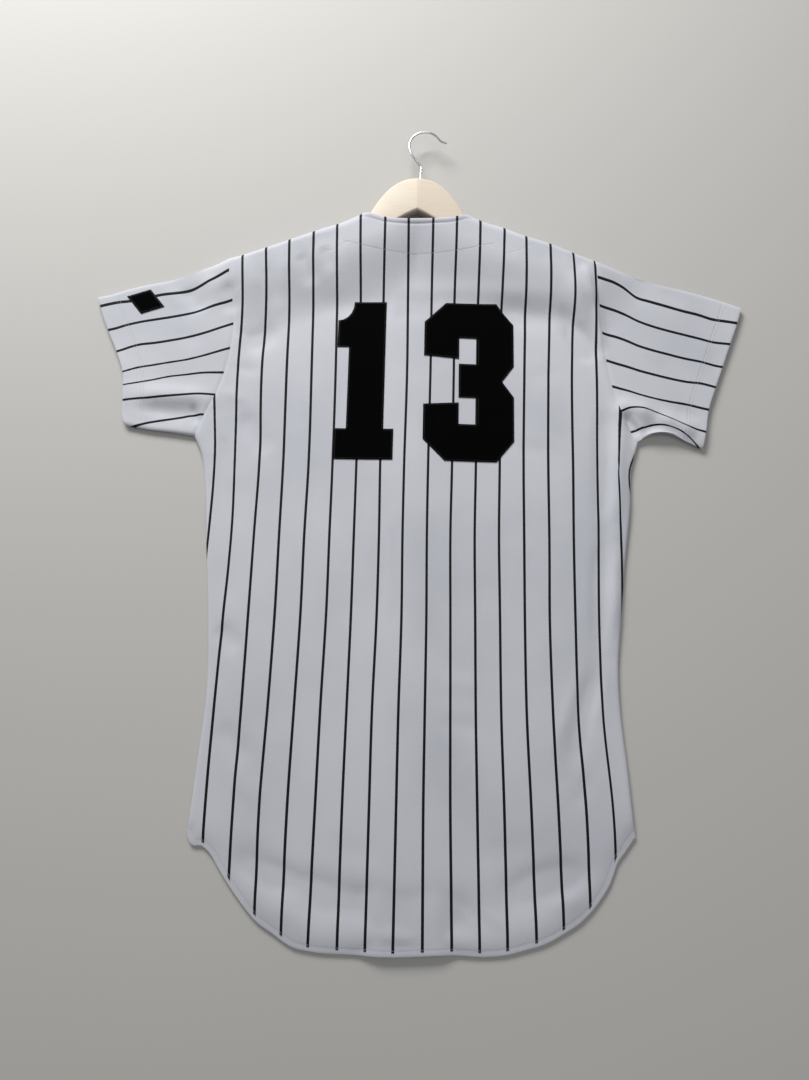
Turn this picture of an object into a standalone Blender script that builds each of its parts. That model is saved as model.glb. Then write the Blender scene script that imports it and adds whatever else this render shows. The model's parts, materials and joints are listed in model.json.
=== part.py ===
"""Baseball jersey laid flat with its back up, still on its wooden hanger.

Metres, +Z up. Sizes are written in the garment's own frame: x runs across from the centre
back, y runs up from the bottom of the hem, z is the height above the floor. HOLDER moves
that frame so that the whole part stands over the world's origin.
"""
import math
from collections import namedtuple

import bmesh
import bpy
import numpy as np

for old in list(bpy.data.objects):
    bpy.data.objects.remove(old)

# Driving sizes
WALL = 0.0012             # the cloth, with its seams and turnings
GAP = 0.0003              # between neighbouring pieces
ARMHOLE_GAP = 0.00036     # the same across the slanting armhole seam, measured along x
FELT = 0.0010             # the sewn-on numbers and patch
LAY = 0.0052              # outer height of the back where it lies on the front
BOX_CENTRE = (-0.00125, 0.48574)

BUTTON_RADIUS = 0.0075
BUTTON_HEIGHT = 0.0024
BUTTON_ROWS = (0.055, 0.185, 0.315, 0.445, 0.575, 0.705)
FRONT_HEM_RAISE = 0.003   # the fronts' hems lie just inside the back's
STAND_HALF = 0.016        # half the width of the button stand, where the fronts overlap
STAND_TOP = 0.745         # where the front neck meets the stand
STAND_SPREAD = 0.056      # how far from the centre the lifted cloth is back on the floor
STAND_RAMP = 0.028        # width over which it comes down

HANGER_X = -0.006
HANGER_HALF = 0.200       # centre to tip
HANGER_WOOD = 0.012       # thickness
HEAD_TOP = 0.9009         # the round head's highest point, along y
HEAD_HALF = 0.062         # from the centre to where the head runs into the arms
HEAD_BEND = 2.4           # power of the head's curve
ARM_SLOPE = math.tan(math.radians(20))
ARM_DEPTH = 0.0215        # top edge to bottom edge, along y
ARM_TOP_Y = 0.868         # where the arms' top edges would meet at the centre
NOTCH_RISE = 0.0095       # how far the notch under the head goes up past the arms' line
NOTCH_WIDTH = 0.034
TIP_RADIUS = 0.0105       # rounding of the arms' tips in plan
CENTRE_RISE = 0.010       # the arms bend down from the centre by this much
WOOD_EDGE = 0.0035        # rounding of the wood's edges
WOOD_CLEARANCE = 0.0010   # least gap over the wood, for the flats between the cloth's points
WOOD_LOFT = 0.0010        # what the cloth stands above that where no fold presses it

WIRE = 0.0015             # radius of the hook's wire
HOOK_X = -0.0024
HOOK_LOOP = (0.0022, 0.950, 0.0200)      # centre x, centre y, radius
STEM_LOW = 0.889
STEM_BORE = 0.0018        # radius of the hole for the stem

NUMBER_LOW = 0.537
NUMBER_HEIGHT = 0.202     # block figures of 8 inches
STROKE = 0.044
ONE_LEFT = -0.099
THREE_LEFT = 0.006
THREE_WIDTH = 0.108
PATCH = (-0.336, 0.733, 0.024, 0.017, math.radians(-15))   # x, y, half sizes, turn

# Outline of the garment in plan. Seam is the height of the side seam or fold there.
Edge = namedtuple("Edge", "x y seam")
LEFT_SIDE = [Edge(*row) for row in (
    (-0.238, 0.115, 0.0030), (-0.233, 0.184, 0.0030), (-0.228, 0.265, 0.0030),
    (-0.232, 0.346, 0.0030), (-0.240, 0.428, 0.0030), (-0.248, 0.509, 0.0030),
    (-0.254, 0.540, 0.0030), (-0.264, 0.562, 0.0032))]
RIGHT_SIDE = [Edge(*row) for row in (
    (0.241, 0.123, 0.0030), (0.236, 0.184, 0.0030), (0.229, 0.265, 0.0030),
    (0.229, 0.306, 0.0030), (0.233, 0.346, 0.0030), (0.240, 0.418, 0.0030),
    (0.249, 0.489, 0.0032), (0.251, 0.530, 0.0035), (0.260, 0.5655, 0.0042))]
LEFT_ARMHOLE = [Edge(*row) for row in (
    (-0.264, 0.562, 0), (-0.257, 0.589, 0), (-0.246, 0.615, 0), (-0.237, 0.645, 0),
    (-0.232, 0.675, 0), (-0.2296, 0.707, 0), (-0.2314, 0.730, 0), (-0.235, 0.759, 0),
    (-0.237, 0.792, 0))]
RIGHT_ARMHOLE = [Edge(*row) for row in (
    (0.260, 0.5655, 0), (0.250, 0.584, 0), (0.240, 0.607, 0), (0.232, 0.6355, 0),
    (0.226, 0.669, 0), (0.222, 0.700, 0), (0.2195, 0.724, 0), (0.2176, 0.754, 0),
    (0.216, 0.778, 0), (0.214, 0.7985, 0))]
LEFT_SHOULDER = [Edge(*row) for row in (
    (-0.237, 0.792, 0.0088), (-0.220, 0.7965, 0.0088), (-0.200, 0.804, 0.0088),
    (-0.160, 0.8195, 0.0100), (-0.120, 0.8345, 0.0117), (-0.100, 0.841, 0.0127),
    (-0.0755, 0.8525, 0.0145))]
RIGHT_SHOULDER = [Edge(*row) for row in (
    (0.0585, 0.8535, 0.0146), (0.081, 0.8445, 0.0133), (0.101, 0.839, 0.0122),
    (0.121, 0.8315, 0.0112), (0.161, 0.8195, 0.0096), (0.182, 0.811, 0.0090),
    (0.202, 0.8025, 0.0088), (0.214, 0.7985, 0.0088))]
LEFT_TOP_FOLD = [Edge(*row) for row in (
    (-0.237, 0.792, 0.0088), (-0.251, 0.7845, 0.0080), (-0.272, 0.776, 0.0068),
    (-0.292, 0.7675, 0.0056), (-0.303, 0.764, 0.0050), (-0.344, 0.7545, 0.0040),
    (-0.364, 0.7485, 0.0037), (-0.384, 0.7415, 0.0035), (-0.396, 0.739, 0.0035))]
RIGHT_TOP_FOLD = [Edge(*row) for row in (
    (0.214, 0.7985, 0.0088), (0.243, 0.787, 0.0080), (0.263, 0.7785, 0.0070),
    (0.284, 0.772, 0.0060), (0.325, 0.763, 0.0045), (0.366, 0.7515, 0.0038),
    (0.3935, 0.742, 0.0035))]
LEFT_LOW_FOLD = [Edge(*row) for row in (
    (-0.264, 0.562, 0.0032), (-0.284, 0.565, 0.0038), (-0.324, 0.569, 0.0038),
    (-0.3425, 0.572, 0.0035))]
RIGHT_LOW_FOLD = [Edge(*row) for row in (
    (0.260, 0.5655, 0.0042), (0.268, 0.572, 0.0070), (0.283, 0.576, 0.0105),
    (0.300, 0.575, 0.0100), (0.318, 0.567, 0.0065), (0.336, 0.559, 0.0035))]
LEFT_CUFF = [Edge(*row) for row in (
    (-0.3425, 0.572, 0), (-0.3475, 0.578, 0), (-0.353, 0.610, 0), (-0.356, 0.640, 0),
    (-0.366, 0.667, 0), (-0.379, 0.695, 0), (-0.392, 0.727, 0), (-0.396, 0.739, 0))]
RIGHT_CUFF = [Edge(*row) for row in (
    (0.336, 0.559, 0), (0.341, 0.580, 0), (0.346, 0.608, 0), (0.356, 0.637, 0),
    (0.366, 0.664, 0), (0.3765, 0.693, 0), (0.3865, 0.720, 0), (0.3935, 0.742, 0))]
HEM = [Edge(*row) for row in (
    (-0.238, 0.115, 0), (-0.235, 0.1086, 0), (-0.220, 0.1035, 0), (-0.210, 0.094, 0),
    (-0.202, 0.082, 0), (-0.192, 0.068, 0), (-0.172, 0.0435, 0), (-0.162, 0.033, 0),
    (-0.141, 0.019, 0), (-0.121, 0.007, 0), (-0.101, 0.0028, 0), (-0.060, 0.0008, 0),
    (-0.019, 0.0, 0), (0.042, 0.0028, 0), (0.082, 0.0018, 0), (0.103, 0.0039, 0),
    (0.123, 0.009, 0), (0.143, 0.015, 0), (0.164, 0.026, 0), (0.184, 0.0394, 0),
    (0.204, 0.062, 0), (0.2145, 0.079, 0), (0.2206, 0.0954, 0), (0.229, 0.1065, 0),
    (0.241, 0.123, 0))]
BACK_NECK = [Edge(*row) for row in (
    (-0.0755, 0.8525, 0), (-0.067, 0.8534, 0), (-0.059, 0.8514, 0), (-0.049, 0.8484, 0),
    (-0.039, 0.8469, 0), (-0.019, 0.8464, 0), (0.001, 0.8474, 0), (0.021, 0.8489, 0),
    (0.041, 0.8514, 0), (0.051, 0.8540, 0), (0.0585, 0.8535, 0))]
LEFT_FRONT_NECK = [Edge(*row) for row in (
    (-0.0755, 0.8525, 0), (-0.070, 0.825, 0), (-0.056, 0.790, 0), (-0.030, 0.763, 0),
    (STAND_HALF, STAND_TOP, 0))]
RIGHT_FRONT_NECK = [Edge(*row) for row in (
    (-STAND_HALF, STAND_TOP, 0), (0.018, 0.763, 0), (0.042, 0.790, 0), (0.054, 0.825, 0),
    (0.0585, 0.8535, 0))]

# Soft folds in the upper layer, from one end to the other. Rise is minus for a trough.
Fold = namedtuple("Fold", "x0 y0 x1 y1 width rise")
FOLDS = [Fold(*row) for row in (
    (-0.150, 0.735, 0.085, 0.729, 0.016, -0.0012),
    (0.085, 0.731, 0.186, 0.722, 0.016, -0.0024),
    (0.186, 0.720, 0.212, 0.664, 0.014, -0.0020),
    (0.182, 0.786, 0.214, 0.676, 0.014, 0.0026),
    (-0.154, 0.806, -0.130, 0.752, 0.010, -0.0022),
    (-0.130, 0.824, -0.107, 0.770, 0.010, -0.0020),
    (-0.194, 0.790, -0.171, 0.724, 0.011, -0.0016),
    (-0.240, 0.764, -0.228, 0.716, 0.013, -0.0022),
    (-0.214, 0.672, -0.170, 0.702, 0.013, -0.0018),
    (-0.214, 0.596, -0.170, 0.538, 0.013, -0.0018),
    (-0.221, 0.342, -0.193, 0.309, 0.012, -0.0014),
    (-0.214, 0.235, -0.173, 0.188, 0.013, -0.0012),
    (0.225, 0.612, 0.216, 0.455, 0.011, -0.0022),
    (0.216, 0.455, 0.209, 0.315, 0.010, -0.0022),
    (0.238, 0.600, 0.230, 0.455, 0.009, 0.0022),
    (0.230, 0.455, 0.221, 0.325, 0.008, 0.0020),
    (0.208, 0.315, 0.172, 0.185, 0.012, -0.0018),
    (-0.043, 0.500, -0.020, 0.318, 0.016, -0.0010),
    (-0.168, 0.083, -0.080, 0.062, 0.012, -0.0014),
    (-0.080, 0.062, 0.076, 0.022, 0.013, -0.0014),
    (0.100, 0.068, 0.202, 0.090, 0.013, -0.0014),
    (-0.345, 0.640, -0.234, 0.642, 0.014, 0.0030),
    (-0.340, 0.606, -0.255, 0.594, 0.012, -0.0020),
    (-0.292, 0.756, -0.262, 0.720, 0.013, -0.0018),
    (0.231, 0.612, 0.282, 0.600, 0.012, 0.0030),
    (0.282, 0.600, 0.332, 0.574, 0.011, 0.0034))]

# Grid of the panels: cells along each stretch, and the turns of a rounded edge in degrees
SIDE_ROWS = 22
FRONT_SIDE_ROWS = 11
ARMHOLE_ROWS = 8
ARM_BAND = (0.016, 0.025)  # rows over the hanger's arm, measured from the shoulder tip
BACK_COLUMNS = 28
FRONT_COLUMNS = 9
NECK_SHARE = 0.54         # of a front's upper edge, in columns
SLEEVE_STATIONS = 12
UNDERARM_SHARE = 0.66     # of a side's whole run from hem to shoulder
TURNS = (0, 30, 60, 90)
SIDE_CURL = 0.005
SHOULDER_CURL = 0.011


def rise_at(x):
    """Height gained by the hanger at x over its tips."""
    out = np.abs(x - HANGER_X) / HANGER_HALF
    return CENTRE_RISE * np.clip(1 - out, 0, 1) ** 1.5


def curve(table, axis=None):
    """A smooth curve through a table's rows, as a function of 0 to 1.

    The share is measured along x (axis 0), along y (axis 1), or along the chords.
    """
    points = np.array([(row.x, row.y, row.seam) for row in table])
    if axis is None:
        run = np.hypot(*np.diff(points[:, :2], axis=0).T)
        knots = np.concatenate([[0], np.cumsum(run)])
    else:
        knots = points[:, axis] - points[0, axis]
    knots = knots / knots[-1]
    steps = np.diff(knots)[:, None]
    slopes = np.diff(points, axis=0) / steps
    inner = (slopes[:-1] * steps[1:] + slopes[1:] * steps[:-1]) / (steps[1:] + steps[:-1])
    tangents = np.vstack([slopes[:1], inner, slopes[-1:]])

    def at(share):
        share = np.clip(np.asarray(share, float), 0, 1)
        k = np.clip(np.searchsorted(knots, share, side="right") - 1, 0, len(knots) - 2)
        span = knots[k + 1] - knots[k]
        t = ((share - knots[k]) / span)[..., None]
        span = span[..., None]
        return ((2 * t ** 3 - 3 * t ** 2 + 1) * points[k]
                + (t ** 3 - 2 * t ** 2 + t) * span * tangents[k]
                + (3 * t ** 2 - 2 * t ** 3) * points[k + 1]
                + (t ** 3 - t ** 2) * span * tangents[k + 1])
    return at


def chain(first, second, share):
    """Two curves end to end, the first taking this share of the run."""
    def at(t):
        t = np.asarray(t, float)
        low = first(np.clip(t / share, 0, 1))
        high = second(np.clip((t - share) / (1 - share), 0, 1))
        return np.where((t <= share)[..., None], low, high)
    return at


def part_of(line, low, high):
    """The stretch of a curve between two of its shares."""
    return lambda t: line(low + (high - low) * np.asarray(t, float))


def raised(line, dy):
    """A curve moved by dy at its middle but not at its ends."""
    def at(t):
        points = line(t).copy()
        points[..., 1] += dy * np.sin(np.pi * np.clip(t, 0, 1))
        return points
    return at


def patch(bottom, top, left, right, u, v):
    """Plan points of a four-sided panel: the two pairs of edges, blended."""
    u, v = np.meshgrid(u, v)
    a, b = u[..., None], v[..., None]
    across = (1 - b) * bottom(u) + b * top(u)
    along = (1 - a) * left(v) + a * right(v)
    corners = ((1 - a) * (1 - b) * bottom(0.0) + a * (1 - b) * bottom(1.0)
               + (1 - a) * b * top(0.0) + a * b * top(1.0))
    return (across + along - corners)[..., :2]


def closed_edges():
    """Short segments of every closed edge, with the seam's height at both ends."""
    starts, ends = [], []
    for table in (LEFT_SIDE, RIGHT_SIDE, LEFT_SHOULDER, RIGHT_SHOULDER,
                  LEFT_TOP_FOLD, RIGHT_TOP_FOLD, LEFT_LOW_FOLD, RIGHT_LOW_FOLD):
        points = curve(table)(np.linspace(0, 1, 40))
        starts.append(points[:-1])
        ends.append(points[1:])
    return np.vstack(starts), np.vstack(ends)


EDGE_STARTS, EDGE_ENDS = closed_edges()


def nearest_edge(x, y):
    """Distance from each point to the nearest closed edge, and the seam's height there."""
    point = np.stack([x, y], -1)[..., None, :]
    start, end = EDGE_STARTS[:, :2], EDGE_ENDS[:, :2]
    run = end - start
    share = np.clip(((point - start) * run).sum(-1) / (run ** 2).sum(-1), 0, 1)
    gap = np.linalg.norm(point - start - share[..., None] * run, axis=-1)
    k = gap.argmin(-1)[..., None]
    share = np.take_along_axis(share, k, -1)[..., 0]
    seam = EDGE_STARTS[k[..., 0], 2] * (1 - share) + EDGE_ENDS[k[..., 0], 2] * share
    return np.take_along_axis(gap, k, -1)[..., 0], seam


def curl_radius(seam):
    return 0.003 + 0.667 * seam


def segment_distance(x, y, x0, y0, x1, y1):
    """Distance to a segment, and the share of the way along it."""
    dx, dy = x1 - x0, y1 - y0
    share = ((x - x0) * dx + (y - y0) * dy) / (dx * dx + dy * dy)
    near = np.clip(share, 0, 1)
    return np.hypot(x - x0 - near * dx, y - y0 - near * dy), near


def smooth_step(t):
    t = np.clip(t, 0, 1)
    return t * t * (3 - 2 * t)


def front_lift(x, side):
    """Height of a front's outer face: over the buttons, and the right front over the left."""
    lift = BUTTON_HEIGHT + GAP
    if side > 0:
        lift += WALL + GAP
    return lift * smooth_step((STAND_SPREAD - side * x) / STAND_RAMP)


def arm_line():
    """The arms of the hanger as one bent line under the cloth."""
    middle = ARM_TOP_Y - ARM_DEPTH / 2
    rows = []
    for out in (-0.195, -0.056, 0.056, 0.195):
        rows.append((HANGER_X + out, middle - abs(out) * ARM_SLOPE))
    return rows


def lay_height(x, y):
    """Outer height of the upper layer, away from its rounded edges."""
    sleeve = smooth_step((np.abs(x) - 0.22) / 0.04)
    height = LAY + 0.0034 * np.exp(-(x / 0.055) ** 2) + 0.0010 * sleeve
    arms = arm_line()
    reach = np.full(np.shape(x), np.inf)
    for (x0, y0), (x1, y1) in zip(arms[:-1], arms[1:]):
        reach = np.minimum(reach, segment_distance(x, y, x0, y0, x1, y1)[0])
    away = np.clip((reach - ARM_DEPTH / 2) / 0.100, 0, 1)
    on_wood = WALL + GAP + HANGER_WOOD + GAP + WALL + WOOD_CLEARANCE + rise_at(x)
    height = height + (on_wood + WOOD_LOFT - height) * (1 - away) ** 2
    for fold in FOLDS:
        gap, share = segment_distance(x, y, fold.x0, fold.y0, fold.x1, fold.y1)
        ends = np.minimum(1, 0.35 + 2.6 * np.minimum(share, 1 - share))
        height = height + fold.rise * ends * np.exp(-(gap / fold.width) ** 2)
    least = front_lift(np.abs(x), 1) + WALL + GAP + WALL + GAP
    least = np.maximum(least, np.where(reach < ARM_DEPTH, on_wood, 0))
    return np.maximum(height, least)


def upper_sheet(plan, shift):
    """Outer and inner points of the upper layer over these plan points."""
    x, y = plan[..., 0], plan[..., 1]
    gap, seam = nearest_edge(x, y)
    radius = curl_radius(seam)
    near = np.clip(gap / radius, 0, 1)
    full = np.sqrt(1 - (1 - near) ** 2)
    top = lay_height(x, y)
    outer = np.dstack([plan, seam + (top - seam) * full])
    inner = np.dstack([plan + shift * (WALL * (1 - near))[..., None],
                       seam + (top - WALL - seam) * full])
    return outer, inner


def lower_sheet(plan, shift, lift=0.0, seam_gap=0.0):
    """Outer and inner points of the layer that lies on the floor."""
    x, y = plan[..., 0], plan[..., 1]
    gap, seam = nearest_edge(x, y)
    near = np.clip(gap / curl_radius(seam), 0, 1)
    full = np.sqrt(1 - (1 - near) ** 2)
    seam = seam - seam_gap
    outer = np.dstack([plan, lift + (seam - lift) * (1 - full)])
    inner = np.dstack([plan + shift * (WALL * (1 - near))[..., None],
                       lift + WALL + (seam - lift - WALL) * (1 - full)])
    return outer, inner


def edge_shares(radius, length, cells, both=True, band=()):
    """Shares from 0 to 1 that crowd towards rounded edges of this radius.

    Band holds extra places, in metres from the far edge.
    """
    rim = [radius * (1 - math.cos(math.radians(turn))) / length for turn in TURNS]
    if not both:
        last = 1 - band[0] / length
        return np.array(rim + list(np.linspace(rim[-1], last, cells + 1))[1:] + [1])
    far = [1 - share for share in rim] + [1 - place / length for place in band]
    middle = list(np.linspace(rim[-1], far[-1], cells + 1))[1:-1]
    return np.array(rim + middle + far[::-1])


def unit(vectors):
    return vectors / np.maximum(np.linalg.norm(vectors, axis=-1, keepdims=True), 1e-9)


def inward(plan, turned_from):
    """Directions away from the rounded edges of a body panel.

    They run sideways, the other way from the column turned_from on, and down in the rows
    that round over the shoulder.
    """
    across = unit(np.gradient(plan, axis=1))
    across[:, turned_from:] *= -1
    down = -unit(np.gradient(plan, axis=0))
    across[-len(TURNS):] = down[-len(TURNS):]
    return across


def grid_triangles(rows, columns, start=0, wrap=False):
    """Triangles of a grid, facing up when rows run to +Y and columns to +X."""
    faces = []
    for i in range(rows - 1):
        for j in range(columns if wrap else columns - 1):
            a = start + i * columns + j
            b = start + i * columns + (j + 1) % columns
            faces.append((a, b, b + columns))
            faces.append((a, b + columns, a + columns))
    return faces


def make_object(name, points, faces, material):
    mesh = bpy.data.meshes.new(name)
    mesh.from_pydata([tuple(map(float, point)) for point in points], [], faces)
    mesh.materials.append(material)
    obj = bpy.data.objects.new(name, mesh)
    bpy.context.collection.objects.link(obj)
    obj.parent = HOLDER
    mesh.shade_smooth()
    mesh.set_sharp_from_angle(angle=math.radians(50))
    return obj


def wall_object(name, over, under, material):
    """A closed wall between two grids of points, the first one lying higher."""
    rows, columns = over.shape[:2]
    count = rows * columns
    points = np.vstack([over.reshape(-1, 3), under.reshape(-1, 3)])
    faces = grid_triangles(rows, columns)
    faces += [face[::-1] for face in grid_triangles(rows, columns, count)]
    rim = list(range(columns))
    rim += [i * columns + columns - 1 for i in range(1, rows)]
    rim += [(rows - 1) * columns + j for j in range(columns - 2, -1, -1)]
    rim += [i * columns for i in range(rows - 2, 0, -1)]
    for a, b in zip(rim, rim[1:] + rim[:1]):
        faces.append((b, a, a + count))
        faces.append((b, a + count, b + count))
    return make_object(name, points, faces, material)


def tube_object(name, outer, inner, material, turned):
    """A closed wall round a tube, from its rings of outer and inner points."""
    rows, columns = outer.shape[:2]
    count = rows * columns
    points = np.vstack([outer.reshape(-1, 3), inner.reshape(-1, 3)])
    faces = grid_triangles(rows, columns, 0, True)
    faces += [face[::-1] for face in grid_triangles(rows, columns, count, True)]
    for row, way in ((0, 1), (rows - 1, -1)):
        for j in range(columns):
            a = row * columns + j
            b = row * columns + (j + 1) % columns
            for face in ((b, a, a + count), (b, a + count, b + count)):
                faces.append(face[::way])
    if turned:
        faces = [face[::-1] for face in faces]
    return make_object(name, points, faces, material)


def material(name, colour, roughness, metallic=0.0):
    made = bpy.data.materials.new(name)
    made.use_nodes = True
    shader = made.node_tree.nodes["Principled BSDF"]
    shader.inputs["Base Color"].default_value = (*colour, 1.0)
    shader.inputs["Roughness"].default_value = roughness
    shader.inputs["Metallic"].default_value = metallic
    return made


HOLDER = bpy.data.objects.new("holder", None)
HOLDER.location = (-BOX_CENTRE[0], -BOX_CENTRE[1], 0)
bpy.context.collection.objects.link(HOLDER)

KNIT = material("knit cloth", (0.50, 0.52, 0.57), 0.85)
NUMBER_FELT = material("black felt", (0.008, 0.008, 0.010), 0.80)
BIRCH = material("birch", (0.78, 0.68, 0.55), 0.45)
STEEL = material("plated steel", (0.75, 0.75, 0.76), 0.25, 1.0)
RESIN = material("button resin", (0.55, 0.57, 0.62), 0.35)

LEFT_RUN = chain(curve(LEFT_SIDE), curve(LEFT_ARMHOLE), UNDERARM_SHARE)
RIGHT_RUN = chain(curve(RIGHT_SIDE), curve(RIGHT_ARMHOLE), UNDERARM_SHARE)
RING_SHARES = edge_shares(0.0085, 0.235, ARMHOLE_ROWS, band=ARM_BAND)


def side_rows(cells):
    """Shares of the rows from the hem to the shoulder, with the armhole's own rows on top."""
    low = np.linspace(0, UNDERARM_SHARE, cells + 1)[:-1]
    return np.concatenate([low, UNDERARM_SHARE + (1 - UNDERARM_SHARE) * RING_SHARES])


def back_sheets():
    """Outer and inner points of the back: one panel from the hem to neck and shoulders."""
    tip = LEFT_SHOULDER[0].x
    whole = RIGHT_SHOULDER[-1].x - tip
    neck_low = (BACK_NECK[0].x - tip) / whole
    neck_high = (BACK_NECK[-1].x - tip) / whole
    top = chain(chain(curve(LEFT_SHOULDER, 0), curve(BACK_NECK, 0), neck_low / neck_high),
                curve(RIGHT_SHOULDER, 0), neck_high)
    columns = edge_shares(SIDE_CURL, 0.49, BACK_COLUMNS)
    plan = patch(curve(HEM, 0), top, LEFT_RUN, RIGHT_RUN, columns, side_rows(SIDE_ROWS))
    return upper_sheet(plan, inward(plan, len(columns) // 2))


def front_sheets(side):
    """The wearer's left front (side -1) or right front (side 1), button stand included."""
    hem = curve(HEM, 0)
    width = HEM[-1].x - HEM[0].x
    stand = -side * STAND_HALF
    share = (stand - HEM[0].x) / width
    low = float(hem(share)[1])

    def stand_edge(t):
        t = np.asarray(t, float)
        return np.stack([np.full(t.shape, stand), low + (STAND_TOP - low) * t, 0 * t], -1)

    flat = STAND_HALF + STAND_SPREAD - STAND_RAMP
    columns = edge_shares(SIDE_CURL, 0.25, FRONT_COLUMNS, both=False, band=(flat,))
    if side < 0:
        top = chain(curve(LEFT_SHOULDER), curve(LEFT_FRONT_NECK), 1 - NECK_SHARE)
        bottom = raised(part_of(hem, 0, share), FRONT_HEM_RAISE)
        plan = patch(bottom, top, LEFT_RUN, stand_edge, columns, side_rows(FRONT_SIDE_ROWS))
        shift = inward(plan, len(columns))
    else:
        top = chain(curve(RIGHT_FRONT_NECK), curve(RIGHT_SHOULDER), NECK_SHARE)
        bottom = raised(part_of(hem, share, 1), FRONT_HEM_RAISE)
        columns = 1 - columns[::-1]
        plan = patch(bottom, top, stand_edge, RIGHT_RUN, columns, side_rows(FRONT_SIDE_ROWS))
        shift = inward(plan, 0)
    return lower_sheet(plan, shift, front_lift(plan[..., 0], side), GAP)


def sleeve_plan(side):
    """Plan points of a sleeve: rows from the armhole to the cuff, columns from low to top."""
    stations = np.linspace(0, 1, SLEEVE_STATIONS + 1)
    if side < 0:
        tables = (LEFT_LOW_FOLD, LEFT_TOP_FOLD, LEFT_ARMHOLE, LEFT_CUFF)
    else:
        tables = (RIGHT_LOW_FOLD, RIGHT_TOP_FOLD, RIGHT_ARMHOLE, RIGHT_CUFF)
    low, top, armhole, cuff = [curve(table) for table in tables]
    plan = patch(low, top, armhole, cuff, stations, RING_SHARES).transpose(1, 0, 2)
    plan[..., 0] += side * ARMHOLE_GAP * (1 - stations[:, None])
    return plan


def sleeve_sheets(side):
    plan = sleeve_plan(side)
    shift = unit(np.gradient(plan, axis=1))
    shift[:, plan.shape[1] // 2:] *= -1
    return upper_sheet(plan, shift), lower_sheet(plan, shift)


def make_sleeve(name, side):
    """A sleeve as one flattened tube, open at the armhole and the cuff."""
    upper, lower = sleeve_sheets(side)
    rings = [np.concatenate([over, under[:, -2:0:-1]], axis=1)
             for over, under in zip(upper, lower)]
    return tube_object(name, rings[0], rings[1], KNIT, side > 0)


def figure_one():
    """A block one: foot, upright and a flag with a hollow shoulder."""
    low, high = NUMBER_LOW, NUMBER_LOW + NUMBER_HEIGHT
    left, upright = ONE_LEFT, ONE_LEFT + 0.014
    right = upright + STROKE
    foot = 0.038
    shoulder = [(left + 0.019 * math.sin(math.radians(a)), high - 0.025 * math.cos(math.radians(a)))
                for a in (0, 30, 60, 90)]
    return [(left, low), (right + 0.012, low), (right + 0.012, low + foot), (right, low + foot),
            (right, high), *reversed(shoulder), (left, high - 0.060), (upright, high - 0.060),
            (upright, low + foot), (left, low + foot)]


def figure_three():
    """A block three: eight-sided, with a waist notch and square-ended hollows."""
    low, high = NUMBER_LOW, NUMBER_LOW + NUMBER_HEIGHT
    left, right = THREE_LEFT, THREE_LEFT + THREE_WIDTH
    middle = (low + high) / 2
    corner, waist = 0.026, 0.014
    inner, bar = right - STROKE, left + 0.042
    slot, stub, half = 0.046, 0.070, 0.0215
    upper = [(right - waist, middle), (right, middle + 1.4 * waist), (right, high - corner),
             (right - 0.8 * corner, high), (left + corner, high), (left, high - corner),
             (left, high - stub), (bar, high - stub - 0.003), (bar, high - slot),
             (inner, high - slot), (inner, middle + half), (bar, middle + half)]
    lower = [(x, 2 * middle - y) for x, y in reversed(upper)]
    return upper + lower[:-1]


def diamond():
    """A plain diamond for the sleeve patch."""
    x, y, long_half, short_half, turn = PATCH
    corners = []
    for along, up in ((long_half, 0), (0, short_half), (-long_half, 0), (0, -short_half)):
        corners.append((x + along * math.cos(turn) - up * math.sin(turn),
                        y + along * math.sin(turn) + up * math.cos(turn)))
    return corners


def prism(name, outline):
    """A tall closed prism over an outline, used as a cutter."""
    area = sum(a[0] * b[1] - b[0] * a[1] for a, b in zip(outline, outline[1:] + outline[:1]))
    if area < 0:
        outline = outline[::-1]
    count = len(outline)
    points = [(x, y, -0.01) for x, y in outline] + [(x, y, 0.06) for x, y in outline]
    faces = [tuple(range(count - 1, -1, -1)), tuple(range(count, 2 * count))]
    faces += [(i, (i + 1) % count, count + (i + 1) % count, count + i) for i in range(count)]
    cutter = make_object(name, points, faces, NUMBER_FELT)
    cutter.hide_render = True
    cutter.display_type = "WIRE"
    return cutter


def applique(name, sheet, outline):
    """Felt laid on a panel: the panel's own points moved out, kept inside an outline."""
    xs, ys = [x for x, _ in outline], [y for _, y in outline]
    inside = ((sheet[..., 0] > min(xs)) & (sheet[..., 0] < max(xs))
              & (sheet[..., 1] > min(ys)) & (sheet[..., 1] < max(ys)))
    rows = np.flatnonzero(inside.any(axis=1))
    columns = np.flatnonzero(inside.any(axis=0))
    piece = sheet[max(rows[0] - 2, 0):rows[-1] + 3, max(columns[0] - 2, 0):columns[-1] + 3]
    under = piece + np.array([0, 0, GAP])
    over = piece + np.array([0, 0, GAP + FELT])
    felt = wall_object(name, over, under, NUMBER_FELT)
    cut = felt.modifiers.new("outline", "BOOLEAN")
    cut.operation = "INTERSECT"
    cut.solver = "EXACT"
    cut.object = prism(name + "_outline", outline)
    return felt


def wood_section(x):
    """Bottom and top edge of the hanger's wood at x, in y."""
    out = abs(x - HANGER_X)
    top = ARM_TOP_Y - out * ARM_SLOPE
    if out < HEAD_HALF:
        joint = ARM_TOP_Y - HEAD_HALF * ARM_SLOPE
        top = HEAD_TOP - (HEAD_TOP - joint) * (out / HEAD_HALF) ** HEAD_BEND
    low = ARM_TOP_Y - ARM_DEPTH - out * ARM_SLOPE
    low += NOTCH_RISE * math.exp(-(out / NOTCH_WIDTH) ** 2)
    tip = max(0.0, out - HANGER_HALF + TIP_RADIUS) / TIP_RADIUS
    middle = (low + top) / 2
    half = (top - low) / 2 * math.sqrt(max(1 - tip ** 2, 0.02))
    return middle - half, middle + half


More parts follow.
